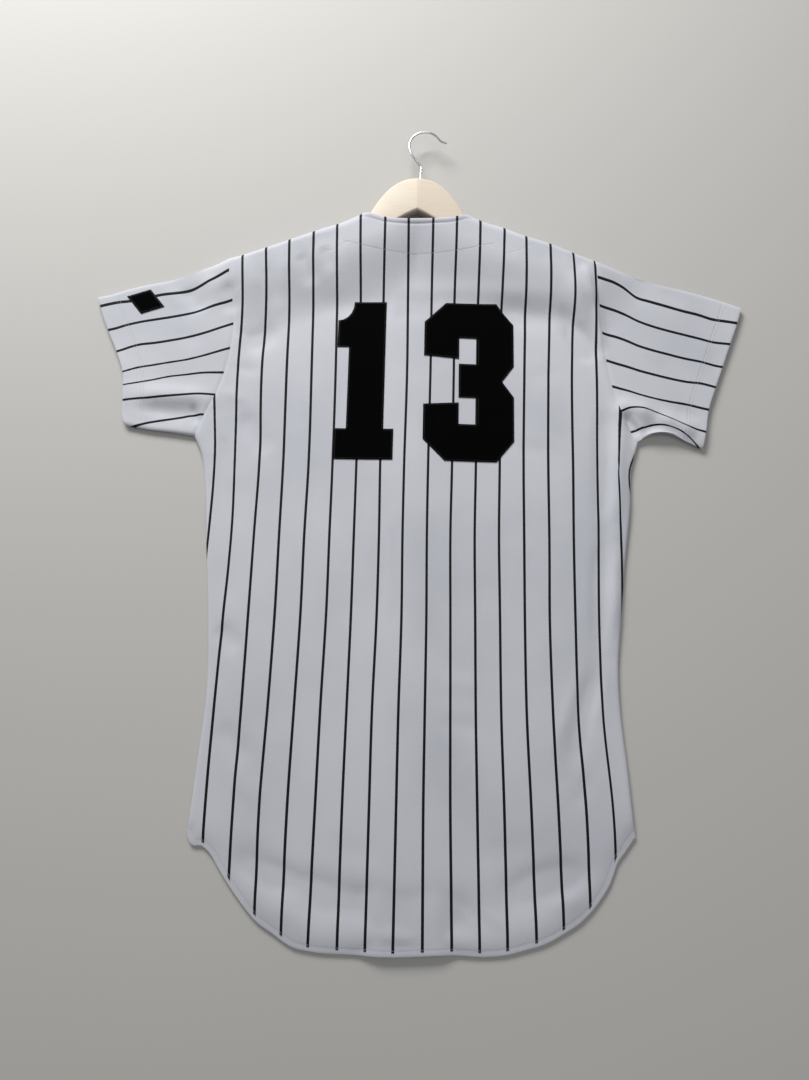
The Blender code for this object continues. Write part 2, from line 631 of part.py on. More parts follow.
def wood_stations():
    """Places along one half of the hanger, crowded at the tip and round the head."""
    out = [HANGER_HALF - TIP_RADIUS * (1 - math.sin(math.radians(a))) for a in (90, 70, 45, 20, 0)]
    out += list(np.linspace(0.170, 0.074, 6))
    out += [HEAD_HALF * share for share in (1, 0.9, 0.8, 0.7, 0.59, 0.47, 0.34, 0.2, 0.08)]
    return out


def make_wood():
    """The hanger: rounded sections from tip to tip, bored for the hook's stem."""
    out = wood_stations()
    places = [-step for step in out] + [0.0] + out[::-1]
    points = []
    for place in places:
        x = HANGER_X + place
        low, top = wood_section(x)
        middle = WALL + GAP + HANGER_WOOD / 2 + float(rise_at(x))
        edge = min(WOOD_EDGE, 0.45 * (top - low))
        for cy, cz, first in ((top, 1, 0), (low, 1, 90), (low, -1, 180), (top, -1, 270)):
            for angle in (first, first + 45, first + 90):
                way = 1 if cy == top else -1
                y = cy - way * edge + edge * math.cos(math.radians(angle))
                z = middle + cz * (HANGER_WOOD / 2 - edge) + edge * math.sin(math.radians(angle))
                points.append((x, y, z))
    ring = 12
    faces = []
    for i in range(len(places) - 1):
        for j in range(ring):
            a, b = i * ring + j, i * ring + (j + 1) % ring
            faces.append((a, b, b + ring))
            faces.append((a, b + ring, a + ring))
    last = (len(places) - 1) * ring
    faces.append(tuple(range(ring - 1, -1, -1)))
    faces.append(tuple(last + j for j in range(ring)))
    wood = make_object("hanger_wood", points, faces, BIRCH)
    turned = bmesh.new()
    turned.from_mesh(wood.data)
    bmesh.ops.recalc_face_normals(turned, faces=turned.faces)
    turned.to_mesh(wood.data)
    turned.free()
    bpy.ops.mesh.primitive_cylinder_add(vertices=16, radius=STEM_BORE, depth=0.03)
    bore = bpy.context.object
    bore.name = "stem_bore"
    bore.parent = HOLDER
    bore.rotation_euler = (math.radians(90), 0, 0)
    bore.location = (HOOK_X, STEM_LOW - GAP + 0.015, stem_height())
    bore.hide_render = True
    bore.display_type = "WIRE"
    cut = wood.modifiers.new("bore", "BOOLEAN")
    cut.operation = "DIFFERENCE"
    cut.solver = "EXACT"
    cut.object = bore
    return wood


def stem_height():
    """Height of the hook's wire, in the middle of the wood."""
    return WALL + GAP + HANGER_WOOD / 2 + CENTRE_RISE * 0.97


def hook_route():
    """The wire's centre line: a straight stem, a bend to the left and an open loop."""
    cx, cy, radius = HOOK_LOOP
    route = [(HOOK_X, STEM_LOW), (HOOK_X, 0.903), (HOOK_X, 0.9180), (HOOK_X - 0.0007, 0.9204),
             (HOOK_X - 0.0024, 0.9227), (HOOK_X - 0.0060, 0.9277), (HOOK_X - 0.0095, 0.9331),
             (HOOK_X - 0.0122, 0.9379)]
    for angle in range(202, 33, -12):
        a = math.radians(angle)
        route.append((cx + radius * math.cos(a), cy + radius * math.sin(a)))
    for out, up in ((0.0185, 0.0088), (0.0217, 0.0064), (0.0262, 0.0047)):
        route.append((cx + out, cy + up))
    return route


def make_hook():
    """The hook: one length of round wire along its route."""
    route = hook_route()
    line = bpy.data.curves.new("hanger_hook", "CURVE")
    line.dimensions = "3D"
    spline = line.splines.new("POLY")
    spline.points.add(len(route) - 1)
    for point, (x, y) in zip(spline.points, route):
        point.co = (x, y, stem_height(), 1)
    line.bevel_depth = WIRE
    line.bevel_resolution = 3
    line.use_fill_caps = True
    line.materials.append(STEEL)
    hook = bpy.data.objects.new("hanger_hook", line)
    bpy.context.collection.objects.link(hook)
    hook.parent = HOLDER
    return hook


def make_buttons():
    """Turned discs under the button stand, rims rounded, lying on the floor."""
    radius, height = BUTTON_RADIUS, BUTTON_HEIGHT
    profile = ((0, 0.0004), (radius * 0.62, 0.0004), (radius * 0.72, 0), (radius * 0.93, 0),
               (radius, 0.3 * height), (radius, 0.7 * height), (radius * 0.93, height),
               (0, height))
    sides = 18
    points = [(0, 0, profile[0][1]), (0, 0, profile[-1][1])]
    for r, z in profile[1:-1]:
        for k in range(sides):
            a = 2 * math.pi * k / sides
            points.append((r * math.cos(a), r * math.sin(a), z))
    faces = []
    last = 2 + (len(profile) - 3) * sides
    for k in range(sides):
        n = (k + 1) % sides
        faces.append((0, 2 + n, 2 + k))
        faces.append((1, last + k, last + n))
        for row in range(len(profile) - 3):
            a, b = 2 + row * sides + k, 2 + row * sides + n
            faces.append((a, b, b + sides, a + sides))
    for number, y in enumerate(BUTTON_ROWS, 1):
        button = make_object(f"button_{number}", points, faces, RESIN)
        button.location = (0, y, 0)


back_outer, back_inner = back_sheets()
wall_object("back", back_outer, back_inner, KNIT)
for side_name, side_sign in (("front_left", -1), ("front_right", 1)):
    front_outer, front_inner = front_sheets(side_sign)
    wall_object(side_name, front_inner, front_outer, KNIT)
make_sleeve("sleeve_left", -1)
make_sleeve("sleeve_right", 1)
applique("number_one", back_outer, figure_one())
applique("number_three", back_outer, figure_three())
applique("sleeve_patch", sleeve_sheets(-1)[0][0], diamond())
make_wood()
make_hook()
make_buttons()
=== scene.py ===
# %% [markdown]
# # A pinstriped baseball jersey, laid flat on its hanger
#
# The real thing is soft knitted cloth over a wooden hanger. The frame holds its solids, and this
# lesson puts fine cloth, felt, wood and wire on them. Each new surface is a formula on a grid,
# worked out as whole arrays, so that a finer mesh costs nothing but a larger number.

# %% Load the frame
import json
import math
from collections import namedtuple

import bmesh
import bpy
import numpy as np
from mathutils import Matrix, Vector

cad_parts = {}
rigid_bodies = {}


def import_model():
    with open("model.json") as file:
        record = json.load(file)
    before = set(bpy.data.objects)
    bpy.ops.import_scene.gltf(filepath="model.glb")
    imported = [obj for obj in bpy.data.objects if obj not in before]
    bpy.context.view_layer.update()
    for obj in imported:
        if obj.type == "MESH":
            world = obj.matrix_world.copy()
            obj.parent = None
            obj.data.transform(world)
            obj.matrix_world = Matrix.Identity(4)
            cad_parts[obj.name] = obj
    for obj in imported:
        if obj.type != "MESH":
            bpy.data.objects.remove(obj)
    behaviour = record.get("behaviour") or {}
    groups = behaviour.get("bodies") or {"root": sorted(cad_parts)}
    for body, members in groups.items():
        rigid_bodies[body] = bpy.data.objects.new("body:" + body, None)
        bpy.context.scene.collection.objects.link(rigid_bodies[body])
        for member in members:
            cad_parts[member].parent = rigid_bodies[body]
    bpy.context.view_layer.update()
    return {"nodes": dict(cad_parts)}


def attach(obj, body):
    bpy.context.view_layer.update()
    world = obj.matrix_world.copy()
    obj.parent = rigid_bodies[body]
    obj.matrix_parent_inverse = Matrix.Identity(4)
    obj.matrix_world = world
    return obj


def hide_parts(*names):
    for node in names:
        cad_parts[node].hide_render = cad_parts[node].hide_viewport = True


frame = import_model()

print("solids in the frame:", len(frame["nodes"]))

# %% [markdown]
# ## Where the cloth lies
#
# Sizes are in the garment's own frame: x runs across from the centre back, y runs up from the
# hem, z is the height above the floor. `HOME` moves a finished piece to its place over the
# world's origin. The numbers are those of the solids, but for a few millimetres at the neck's
# middle, the left armhole and the left cuff.

# %% Driving sizes
WALL = 0.0012             # the cloth, with its seams and turnings
GAP = 0.0003
FELT = 0.0010
LAY = 0.0052              # outer height of the back where it lies on the front
HOME = np.array([0.00125, -0.48574, 0.0])

BUTTON_RADIUS = 0.0075
BUTTON_HEIGHT = 0.0024
BUTTON_ROWS = (0.055, 0.185, 0.315, 0.445, 0.575, 0.705)
FRONT_HEM_RAISE = 0.003
STAND_HALF = 0.016
STAND_TOP = 0.745
STAND_SPREAD = 0.056
STAND_RAMP = 0.028

HANGER_X = -0.006
HANGER_HALF = 0.200
HANGER_WOOD = 0.012
HEAD_TOP = 0.9009
HEAD_HALF = 0.062
HEAD_BEND = 2.4
ARM_SLOPE = math.tan(math.radians(20))
ARM_DEPTH = 0.0215
ARM_TOP_Y = 0.868
NOTCH_RISE = 0.0095
NOTCH_WIDTH = 0.034
TIP_RADIUS = 0.0105
CENTRE_RISE = 0.010
WOOD_EDGE = 0.0035
WOOD_CLEARANCE = 0.0010
WOOD_LOFT = 0.0010

WIRE = 0.0015
HOOK_X = -0.0024
HOOK_LOOP = (0.0022, 0.950, 0.0200)
STEM_LOW = 0.889
STEM_BORE = 0.0018

NUMBER_LOW = 0.537
NUMBER_HEIGHT = 0.202
STROKE = 0.044
ONE_LEFT = -0.099
THREE_LEFT = 0.006
THREE_WIDTH = 0.108
PATCH = (-0.336, 0.733, 0.024, 0.017, math.radians(-15))

# %% Outline of the garment
Edge = namedtuple("Edge", "x y seam")


def edge(*rows):
    """A line of the garment from rows of x, y and seam height in mm; a raw edge has no seam."""
    return [Edge(*(v / 1000 for v in (*row, 0)[:3])) for row in rows]


LEFT_SIDE = edge(
    (-238, 115, 3), (-233, 184, 3), (-228, 265, 3), (-232, 346, 3), (-240, 428, 3),
    (-248, 509, 3), (-254, 540, 3), (-264, 562, 3.2))
RIGHT_SIDE = edge(
    (241, 123, 3), (236, 184, 3), (229, 265, 3), (229, 306, 3), (233, 346, 3), (240, 418, 3),
    (249, 489, 3.2), (251, 530, 3.5), (260, 565.5, 4.2))
LEFT_ARMHOLE = edge(
    (-264, 562), (-254.5, 589), (-242.8, 615), (-234.2, 645), (-229.2, 675), (-227.3, 707),
    (-229.1, 730), (-233.5, 759), (-237, 792))
RIGHT_ARMHOLE = edge(
    (260, 565.5), (250, 584), (240, 607), (232, 635.5), (226, 669), (222, 700), (219.5, 724),
    (217.6, 754), (216, 778), (214, 798.5))
LEFT_SHOULDER = edge(
    (-237, 792, 8.8), (-220, 796.5, 8.8), (-200, 804, 8.8), (-160, 819.5, 10),
    (-120, 834.5, 11.7), (-100, 841, 12.7), (-75.5, 852.5, 14.5))
RIGHT_SHOULDER = edge(
    (58.5, 853.5, 14.6), (81, 844.5, 13.3), (101, 839, 12.2), (121, 831.5, 11.2),
    (161, 819.5, 9.6), (182, 811, 9), (202, 802.5, 8.8), (214, 798.5, 8.8))
LEFT_TOP_FOLD = edge(
    (-237, 792, 8.8), (-251, 784.5, 8), (-272, 776, 6.8), (-292, 767.5, 5.6), (-303, 764, 5),
    (-344, 754.5, 4), (-364, 748.5, 3.7), (-384, 741.5, 3.5), (-396, 739, 3.5))
RIGHT_TOP_FOLD = edge(
    (214, 798.5, 8.8), (243, 787, 8), (263, 778.5, 7), (284, 772, 6), (325, 763, 4.5),
    (366, 751.5, 3.8), (393.5, 742, 3.5))
LEFT_LOW_FOLD = edge(
    (-264, 562, 3.2), (-284, 565, 3.8), (-324, 569.5, 3.8), (-346.2, 573.5, 3.5))
RIGHT_LOW_FOLD = edge(
    (260, 565.5, 4.2), (268, 572, 7), (283, 576, 10.5), (300, 575, 10), (318, 567, 6.5),
    (336, 559, 3.5))
LEFT_CUFF = edge(
    (-346.2, 573.5), (-349.8, 580), (-353, 610), (-356, 640), (-366, 667), (-379, 695),
    (-392, 727), (-396, 739))
RIGHT_CUFF = edge(
    (336, 559), (341, 580), (346, 608), (356, 637), (366, 664), (376.5, 693), (386.5, 720),
    (393.5, 742))
HEM = edge(
    (-238, 115), (-235, 108.6), (-220, 103.5), (-210, 94), (-202, 82), (-192, 68), (-172, 43.5),
    (-162, 33), (-141, 19), (-121, 7), (-101, 2.8), (-60, 0.8), (-19, 0), (42, 2.8), (82, 1.8),
    (103, 3.9), (123, 9), (143, 15), (164, 26), (184, 39.4), (204, 62), (214.5, 79),
    (220.6, 95.4), (229, 106.5), (241, 123))
BACK_NECK = edge(
    (-75.5, 852.5), (-67, 851.5), (-59, 849), (-49, 845.5), (-39, 843.6), (-19, 842), (1, 842.4),
    (21, 844.2), (41, 847.6), (51, 851), (58.5, 853.5))
LEFT_FRONT_NECK = [*edge((-75.5, 852.5), (-70, 825), (-56, 790), (-30, 763)),
                   Edge(STAND_HALF, STAND_TOP, 0)]
RIGHT_FRONT_NECK = [Edge(-STAND_HALF, STAND_TOP, 0),
                    *edge((18, 763), (42, 790), (54, 825), (58.5, 853.5))]

# %% [markdown]
# ## Folds and creases
#
# Cloth that lies still keeps long soft troughs and ridges. A fold here is a line between two
# points with a bell-shaped rise across it that dies away at both ends. The first table's folds
# are in the solids too. The second adds the smaller creases.

# %% Folds and creases
Fold = namedtuple("Fold", "x0 y0 x1 y1 width rise")


def folds(*rows):
    """Folds from rows of both ends, width and rise in mm."""
    return [Fold(*(v / 1000 for v in row)) for row in rows]


FOLDS = folds(
    (-150, 735, 85, 729, 16, -1.2), (85, 731, 186, 722, 16, -2.4), (186, 720, 212, 664, 14, -2.8),
    (182, 786, 214, 676, 14, 2.6), (-154, 806, -130, 752, 10, -2.2),
    (-130, 824, -107, 770, 10, -2), (-194, 790, -171, 724, 11, -1.6),
    (-240, 764, -228, 716, 13, -2.2), (-214, 672, -170, 702, 13, -1.8),
    (-214, 596, -170, 538, 13, -1.8), (-221, 342, -193, 309, 12, -1.4),
    (-214, 235, -173, 188, 13, -1.2), (225, 612, 216, 455, 11, -3), (216, 455, 209, 315, 10, -3),
    (238, 600, 230, 455, 9, 3), (230, 455, 221, 325, 8, 2.8), (208, 315, 172, 185, 12, -1.8),
    (-43, 500, -20, 318, 16, -1), (-168, 83, -80, 62, 12, -1.4), (-80, 62, 76, 22, 13, -1.4),
    (100, 68, 202, 90, 13, -1.4), (-345, 613, -240, 609, 13, 2.6), (-344, 589, -256, 591, 14, -2),
    (-292, 756, -262, 720, 13, -1.8), (231, 612, 282, 600, 12, 3), (282, 600, 332, 574, 11, 3.4))

CREASES = folds(
    (-196, 100, -120, 62, 18, -1.7), (-120, 60, -20, 44, 19, -2), (-20, 44, 90, 44, 19, -1.9),
    (90, 50, 192, 90, 18, -1.7), (40, 62, 96, 26, 5, -0.7), (196, 797, 216, 735, 6.5, 2.2),
    (214, 742, 223, 676, 6, 1.6), (168, 744, 208, 672, 9, -2.4), (184, 808, 203, 782, 5.5, -1.6),
    (-270, 604, -258, 574, 4.5, -1.2), (243, 604, 262, 572, 4.5, -2), (249, 600, 270, 578, 4, 1),
    (266, 582, 290, 586, 6, -1), (242, 590, 252, 560, 4, -1.2), (-20, 757, 168, 752, 10, 0.7),
    (-176, 812, -158, 768, 7, 0.8), (-150, 826, -126, 782, 6, 0.8),
    (-112, 832, -98, 792, 6, -0.6), (-216, 792, -200, 744, 8, 0.6),
    (-226, 700, -196, 686, 6, -0.6), (-228, 650, -190, 646, 7, -0.6),
    (-236, 622, -204, 604, 6, 0.6), (-244, 596, -226, 552, 6, 0.7),
    (-246, 560, -236, 500, 7, 0.6), (-150, 585, -120, 520, 12, 0.4), (30, 286, 78, 276, 11, 0.6),
    (26, 240, 82, 230, 10, -0.6), (118, 560, 158, 550, 10, -0.5), (126, 640, 172, 652, 11, -0.4),
    (150, 800, 176, 764, 8, 0.5), (196, 806, 206, 770, 6, -0.6), (100, 824, 112, 790, 9, -0.4),
    (186, 300, 156, 210, 7, 0.6), (216, 300, 198, 230, 6, 0.5), (196, 190, 176, 150, 9, -0.6),
    (-200, 180, -150, 150, 12, 0.5), (-222, 420, -206, 362, 9, -0.5),
    (-212, 520, -200, 440, 10, -0.5), (-140, 50, -100, 26, 9, 0.5), (-40, 24, 10, 12, 8, 0.5),
    (30, 56, 110, 30, 8, 0.6), (150, 50, 184, 66, 8, 0.6), (60, 100, 150, 118, 13, -0.4),
    (-90, 110, -30, 96, 13, -0.4), (-100, 470, -86, 380, 13, 0.3), (90, 470, 104, 400, 13, -0.3),
    (150, 430, 166, 360, 12, 0.3), (-316, 752, -286, 726, 8, 0.6), (-268, 770, -246, 742, 7, 0.6),
    (-340, 588, -290, 582, 6, 0.6), (-272, 600, -262, 572, 5, -0.9),
    (-300, 690, -262, 684, 10, -0.4), (-374, 712, -352, 652, 6, -0.4),
    (250, 772, 280, 744, 9, -0.4), (296, 766, 326, 742, 10, -0.5), (352, 690, 360, 652, 8, -0.4),
    (262, 690, 300, 664, 12, 0.4), (246, 606, 262, 570, 5, -1.2), (238, 606, 250, 556, 5, 0.9),
    (252, 598, 256, 548, 4, -0.8), (306, 612, 338, 594, 7, -0.6))

Wave = namedtuple("Wave", "along_x along_y turn rise")
WAVES = [Wave(*row) for row in (
    (38.0, 11.0, 0.4, 0.00012), (-21.0, 34.0, 1.9, 0.00014), (57.0, -16.0, 3.1, 0.00008),
    (9.0, 52.0, 5.0, 0.00010), (74.0, 43.0, 2.2, 0.00005), (-63.0, 71.0, 0.9, 0.00005))]
print("folds:", len(FOLDS), "creases:", len(CREASES), "waves:", len(WAVES))

# %% [markdown]
# ## Curves and heights
#
# A table of points becomes a smooth curve with Hermite pieces. The upper layer's height is the
# lay of the cloth, plus its lift over the hanger's arms, plus every fold. Near a closed edge the
# cloth rolls over with a round section down to the seam.

# %% Curves through the tables
def curve(table, axis=None):
    """A smooth curve through rows of x, y, seam, as a function of 0 to 1 along x, y or chords."""
    points = np.array([tuple(row)[:3] for row in table])
    if axis is None:
        run = np.hypot(*np.diff(points[:, :2], axis=0).T)
        knots = np.concatenate([[0], np.cumsum(run)])
    else:
        knots = points[:, axis] - points[0, axis]
    knots = knots / knots[-1]
    steps = np.diff(knots)[:, None]
    slopes = np.diff(points, axis=0) / steps
    inner = (slopes[:-1] * steps[1:] + slopes[1:] * steps[:-1]) / (steps[1:] + steps[:-1])
    tangents = np.vstack([slopes[:1], inner, slopes[-1:]])

    def at(share):
        share = np.clip(np.asarray(share, float), 0, 1)
        k = np.clip(np.searchsorted(knots, share, side="right") - 1, 0, len(knots) - 2)
        span = knots[k + 1] - knots[k]
        t = ((share - knots[k]) / span)[..., None]
        span = span[..., None]
        return ((2 * t ** 3 - 3 * t ** 2 + 1) * points[k]
                + (t ** 3 - 2 * t ** 2 + t) * span * tangents[k]
                + (3 * t ** 2 - 2 * t ** 3) * points[k + 1]
                + (t ** 3 - t ** 2) * span * tangents[k + 1])
    return at


def chain(first, second, share):
    """Two curves end to end, the first taking this share of the run."""
    def at(t):
        t = np.asarray(t, float)
        low = first(np.clip(t / share, 0, 1))
        high = second(np.clip((t - share) / (1 - share), 0, 1))
        return np.where((t <= share)[..., None], low, high)
    return at


def part_of(line, low, high):
    """The stretch of a curve between two of its shares."""
    return lambda t: line(low + (high - low) * np.asarray(t, float))


def raised(line, dy):
    """A curve moved by dy at its middle but not at its ends."""
    def at(t):
        points = line(t).copy()
        points[..., 1] += dy * np.sin(np.pi * np.clip(t, 0, 1))
        return points
    return at


def patch(bottom, top, left, right, u, v):
    """Plan points of a four-sided panel: both pairs of edges blended, less the corners."""
    u, v = np.meshgrid(u, v)
    a, b = u[..., None], v[..., None]
    across = (1 - b) * bottom(u) + b * top(u)
    along = (1 - a) * left(v) + a * right(v)
    corners = ((1 - a) * (1 - b) * bottom(0.0) + a * (1 - b) * bottom(1.0)
               + (1 - a) * b * top(0.0) + a * b * top(1.0))
    return (across + along - corners)[..., :2]


# %% Distances to edges
def polyline(table, count=60, axis=None):
    return curve(table, axis)(np.linspace(0, 1, count))


def joined_segments(lines):
    """Segments of several polylines: an array of starts and one of ends."""
    starts = np.vstack([line[:-1] for line in lines])
    ends = np.vstack([line[1:] for line in lines])
    return starts, ends


def distance_to(segments, x, y):
    """Distance from each point to the nearest segment, and the third value held there."""
    shape = np.shape(x)
    flat = np.stack([np.ravel(x), np.ravel(y)], -1)
    gaps, values = [], []
    start, end = segments
    run = (end - start)[:, :2]
    for chunk in np.array_split(flat, max(1, len(flat) // 8000)):
        point = chunk[:, None, :]
        share = ((point - start[:, :2]) * run).sum(-1) / np.maximum((run ** 2).sum(-1), 1e-12)
        share = np.clip(share, 0, 1)
        gap = np.linalg.norm(point - start[:, :2] - share[..., None] * run, axis=-1)
        k = gap.argmin(-1)
        row = np.arange(len(chunk))
        gaps.append(gap[row, k])
        values.append(start[k, 2] * (1 - share[row, k]) + end[k, 2] * share[row, k])
    return np.concatenate(gaps).reshape(shape), np.concatenate(values).reshape(shape)


CLOSED = joined_segments([polyline(table) for table in (
    LEFT_SIDE, RIGHT_SIDE, LEFT_SHOULDER, RIGHT_SHOULDER,
    LEFT_TOP_FOLD, RIGHT_TOP_FOLD, LEFT_LOW_FOLD, RIGHT_LOW_FOLD)])
ARMHOLES = joined_segments([polyline(LEFT_ARMHOLE), polyline(RIGHT_ARMHOLE)])
HEM_LINE = joined_segments([polyline(HEM, 160, 0)])
NECK_LINE = joined_segments([polyline(BACK_NECK, 60, 0)])
CUFF_LINES = joined_segments([polyline(LEFT_CUFF), polyline(RIGHT_CUFF)])
FRONT_NECKS = joined_segments([polyline(LEFT_FRONT_NECK), polyline(RIGHT_FRONT_NECK)])
print("segments of closed edge:", len(CLOSED[0]))


# %% Height of the cloth
def segment_distance(x, y, x0, y0, x1, y1):
    """Distance to one segment, and the share of the way along it."""
    dx, dy = x1 - x0, y1 - y0
    share = ((x - x0) * dx + (y - y0) * dy) / (dx * dx + dy * dy)
    near = np.clip(share, 0, 1)
    return np.hypot(x - x0 - near * dx, y - y0 - near * dy), near


def smooth_step(t):
    t = np.clip(t, 0, 1)
    return t * t * (3 - 2 * t)


def rise_at(x):
    """Height gained by the hanger at x over its tips."""
    out = np.abs(x - HANGER_X) / HANGER_HALF
    return CENTRE_RISE * np.clip(1 - out, 0, 1) ** 1.5


def wood_section(x):
    """Bottom and top edge of the wood at x."""
    out = np.abs(x - HANGER_X)
    arm = ARM_TOP_Y - out * ARM_SLOPE
    joint = ARM_TOP_Y - HEAD_HALF * ARM_SLOPE
    head = HEAD_TOP - (HEAD_TOP - joint) * np.minimum(out / HEAD_HALF, 1) ** HEAD_BEND
    top = np.where(out < HEAD_HALF, head, arm)
    low = arm - ARM_DEPTH + NOTCH_RISE * np.exp(-(out / NOTCH_WIDTH) ** 2)
    tip = np.maximum(0, out - HANGER_HALF + TIP_RADIUS) / TIP_RADIUS
    half = (top - low) / 2 * np.sqrt(np.maximum(1 - tip ** 2, 0.02))
    return (low + top) / 2 - half, (low + top) / 2 + half


def front_lift(x, side):
    """Height of a front's outer face: over the buttons, and one front over the other."""
    lift = BUTTON_HEIGHT + GAP
    if side > 0:
        lift += WALL + GAP
    return lift * smooth_step((STAND_SPREAD - side * x) / STAND_RAMP)


def wood_outline():
    """The hanger's outline in plan, from tip to tip and back."""
    x = HANGER_X + np.concatenate([np.linspace(-1, -0.31, 24)[:-1], np.linspace(-0.31, 0.31, 60),
                                   np.linspace(0.31, 1, 24)[1:]]) * HANGER_HALF
    low, top = wood_section(x)
    flat = np.zeros_like(x)
    return joined_segments([np.stack([x, low, flat], -1), np.stack([x, top, flat], -1)])


WOOD_OUTLINE = wood_outline()
WOOD_MARGIN = 0.003
WOOD_FALL = 0.080         # how far the cloth takes to come down from the wood


def lift_share(x, y):
    """1 over the wood and a margin round it, then a smooth fall to 0; and where it is 1."""
    low, top = wood_section(np.clip(x, HANGER_X - HANGER_HALF, HANGER_X + HANGER_HALF))
    on = (y > low) & (y < top) & (np.abs(x - HANGER_X) < HANGER_HALF)
    away = np.where(on, 0, distance_to(WOOD_OUTLINE, x, y)[0])
    return 1 - smooth_step((away - WOOD_MARGIN) / WOOD_FALL), away < WOOD_MARGIN


STAND_SWELL = 0.0034      # the lapped and buttoned fronts lift the back's middle
STAND_SWELL_WIDTH = 0.055
SLEEVE_FROM = 0.22        # the sleeves lie a little higher than the body
SLEEVE_BLEND = 0.04
SLEEVE_RISE = 0.0010
CRISP = 1.5               # the seen folds are this much sharper than those of the solids
HEM_HEIGHT = 0.0031       # the hem droops to the front panels beneath it
HEM_DROOP = 0.011


def lay_height(x, y):
    """Height of the upper layer: lay plus lift over the hanger plus a bell for every fold."""
    sleeve = smooth_step((np.abs(x) - SLEEVE_FROM) / SLEEVE_BLEND)
    height = LAY + STAND_SWELL * np.exp(-(x / STAND_SWELL_WIDTH) ** 2) + SLEEVE_RISE * sleeve
    lifted, over_wood = lift_share(x, y)
    on_wood = WALL + GAP + HANGER_WOOD + GAP + WALL + WOOD_CLEARANCE + rise_at(x)
    height = height + (on_wood + WOOD_LOFT - height) * lifted
    for fold in FOLDS + CREASES:
        gap, share = segment_distance(x, y, fold.x0, fold.y0, fold.x1, fold.y1)
        ends = 0.2 + 0.8 * smooth_step(3.0 * np.minimum(share, 1 - share))
        height = height + CRISP * fold.rise * ends * np.exp(-(gap / fold.width) ** 2)
    for wave in WAVES:
        height = height + wave.rise * np.sin(wave.along_x * x + wave.along_y * y + wave.turn)
    hem = distance_to(HEM_LINE, x, y)[0]
    height = height - (height - HEM_HEIGHT) * np.exp(-(hem / HEM_DROOP) ** 2)
    least = front_lift(np.abs(x), 1) + WALL + GAP + WALL + GAP
    least = np.maximum(least, np.where(over_wood, on_wood, 0))
    return np.maximum(height, least)


LIP = 0.0058              # width of the rolled edge at the back neck
LIP_RISE = 0.0007
LIP_CREASE = 0.0012       # from the lip to the middle of the crease beside it
SEAM_DIP = 0.0005         # how far the cloth sinks along the armhole seams
SEAM_WIDTH = 0.0022
ROLL_LEAST = 0.003        # radius of the roll at a closed edge, and its growth with the height
ROLL_GROWTH = 0.667


def seam_relief(x, y):
    """Small heights at sewn lines: the rolled neck edge, its crease, and the armhole dips."""
    neck = distance_to(NECK_LINE, x, y)[0]
    lip = LIP_RISE * np.sin(np.pi * np.clip(neck / LIP, 0, 1)) ** 0.7
    middle = np.exp(-((x + 0.008) / 0.045) ** 2)
    crease = np.exp(-((neck - LIP - LIP_CREASE) / LIP_CREASE) ** 2)
    arm = distance_to(ARMHOLES, x, y)[0]
    return lip - (0.0002 + 0.0004 * middle) * crease - SEAM_DIP * np.exp(-(arm / SEAM_WIDTH) ** 2)


def rolled(plan, shift, face, wall):
    """Outer and inner points of a layer, with a quarter round down or up to a closed edge."""
    gap, seam = distance_to(CLOSED, plan[..., 0], plan[..., 1])
    near = np.clip(gap / (ROLL_LEAST + ROLL_GROWTH * seam), 0, 1)
    full = np.sqrt(1 - (1 - near) ** 2)
    outer = np.dstack([plan, seam + (face - seam) * full])
    inner = np.dstack([plan + shift * (WALL * (1 - near))[..., None],
                       seam + (face + wall - seam) * full])
    return outer, inner


def upper_sheet(plan, shift=0.0):
    x, y = plan[..., 0], plan[..., 1]
    return rolled(plan, shift, lay_height(x, y) + seam_relief(x, y), -WALL)


def lower_sheet(plan, shift, lift=0.0):
    """The layer that lies on the floor, lifted here and there by what is under it."""
    return rolled(plan, shift, lift, WALL)


# %% [markdown]
# ## Where the pinstripes run
#
# The stripes are knitted in, so they follow the cloth: they crowd where it dips and spread where
# it lies flat. Each row of a table follows one stripe. A point's stripe number is how many of
# those lines it has passed, which turns the stripes into a coordinate that a material can read.

# %% Stripe lines
PITCH = 0.0285
STRIPE_WIDTH = 0.0030
SLEEVE_BEYOND = 1.5 * PITCH    # past the last line of a sleeve, where the next one hides
BODY_HEIGHTS = (60, 150, 250, 350, 450, 528, 650, 745, 820)
BODY_STRIPES = (
    (-249, -249, -246, -243, -238, -237, -246, -247, -250),
    (-220, -220, -218, -215, -212, -214, -218, -217, -221),
    (-190, -190, -188, -187, -186, -185, -189, -188, -192),
    (-161, -162, -159, -157, -157, -157, -159, -160, -163),
    (-132, -132, -130, -128, -128, -127, -129, -131, -133),
    (-103, -102, -101, -99, -99, -99, -100, -102, -104),
    (-73, -73, -72, -71, -71, -71, -72, -73, -75),
    (-44, -44, -44, -42, -42, -43, -43, -45, -45),
    (-15, -15, -15, -14, -15, -15, -14, -15, -16),
    (15, 14, 14, 14, 13, 13, 14, 14, 14),
    (45, 43, 42, 41, 40, 41, 42, 42, 43),
    (74, 72, 70, 69, 68, 69, 70, 71, 72),
    (103, 101, 98, 97, 96, 97, 98, 100, 102),
    (133, 130, 126, 125, 125, 125, 127, 129, 129),
    (162, 159, 155, 153, 154, 154, 156, 159, 159),
    (191, 189, 183, 182, 182, 183, 184, 188, 187),
    (220, 218, 210, 209, 211, 212, 214, 214, 213),
    (249, 241, 234, 235, 236, 236, 242, 246, 248),
    (280, 276, 272, 270, 264, 248, 330, 330, 330))
LEFT_STATIONS = (-394, -370, -355, -340, -320, -300, -280, -260, -238)
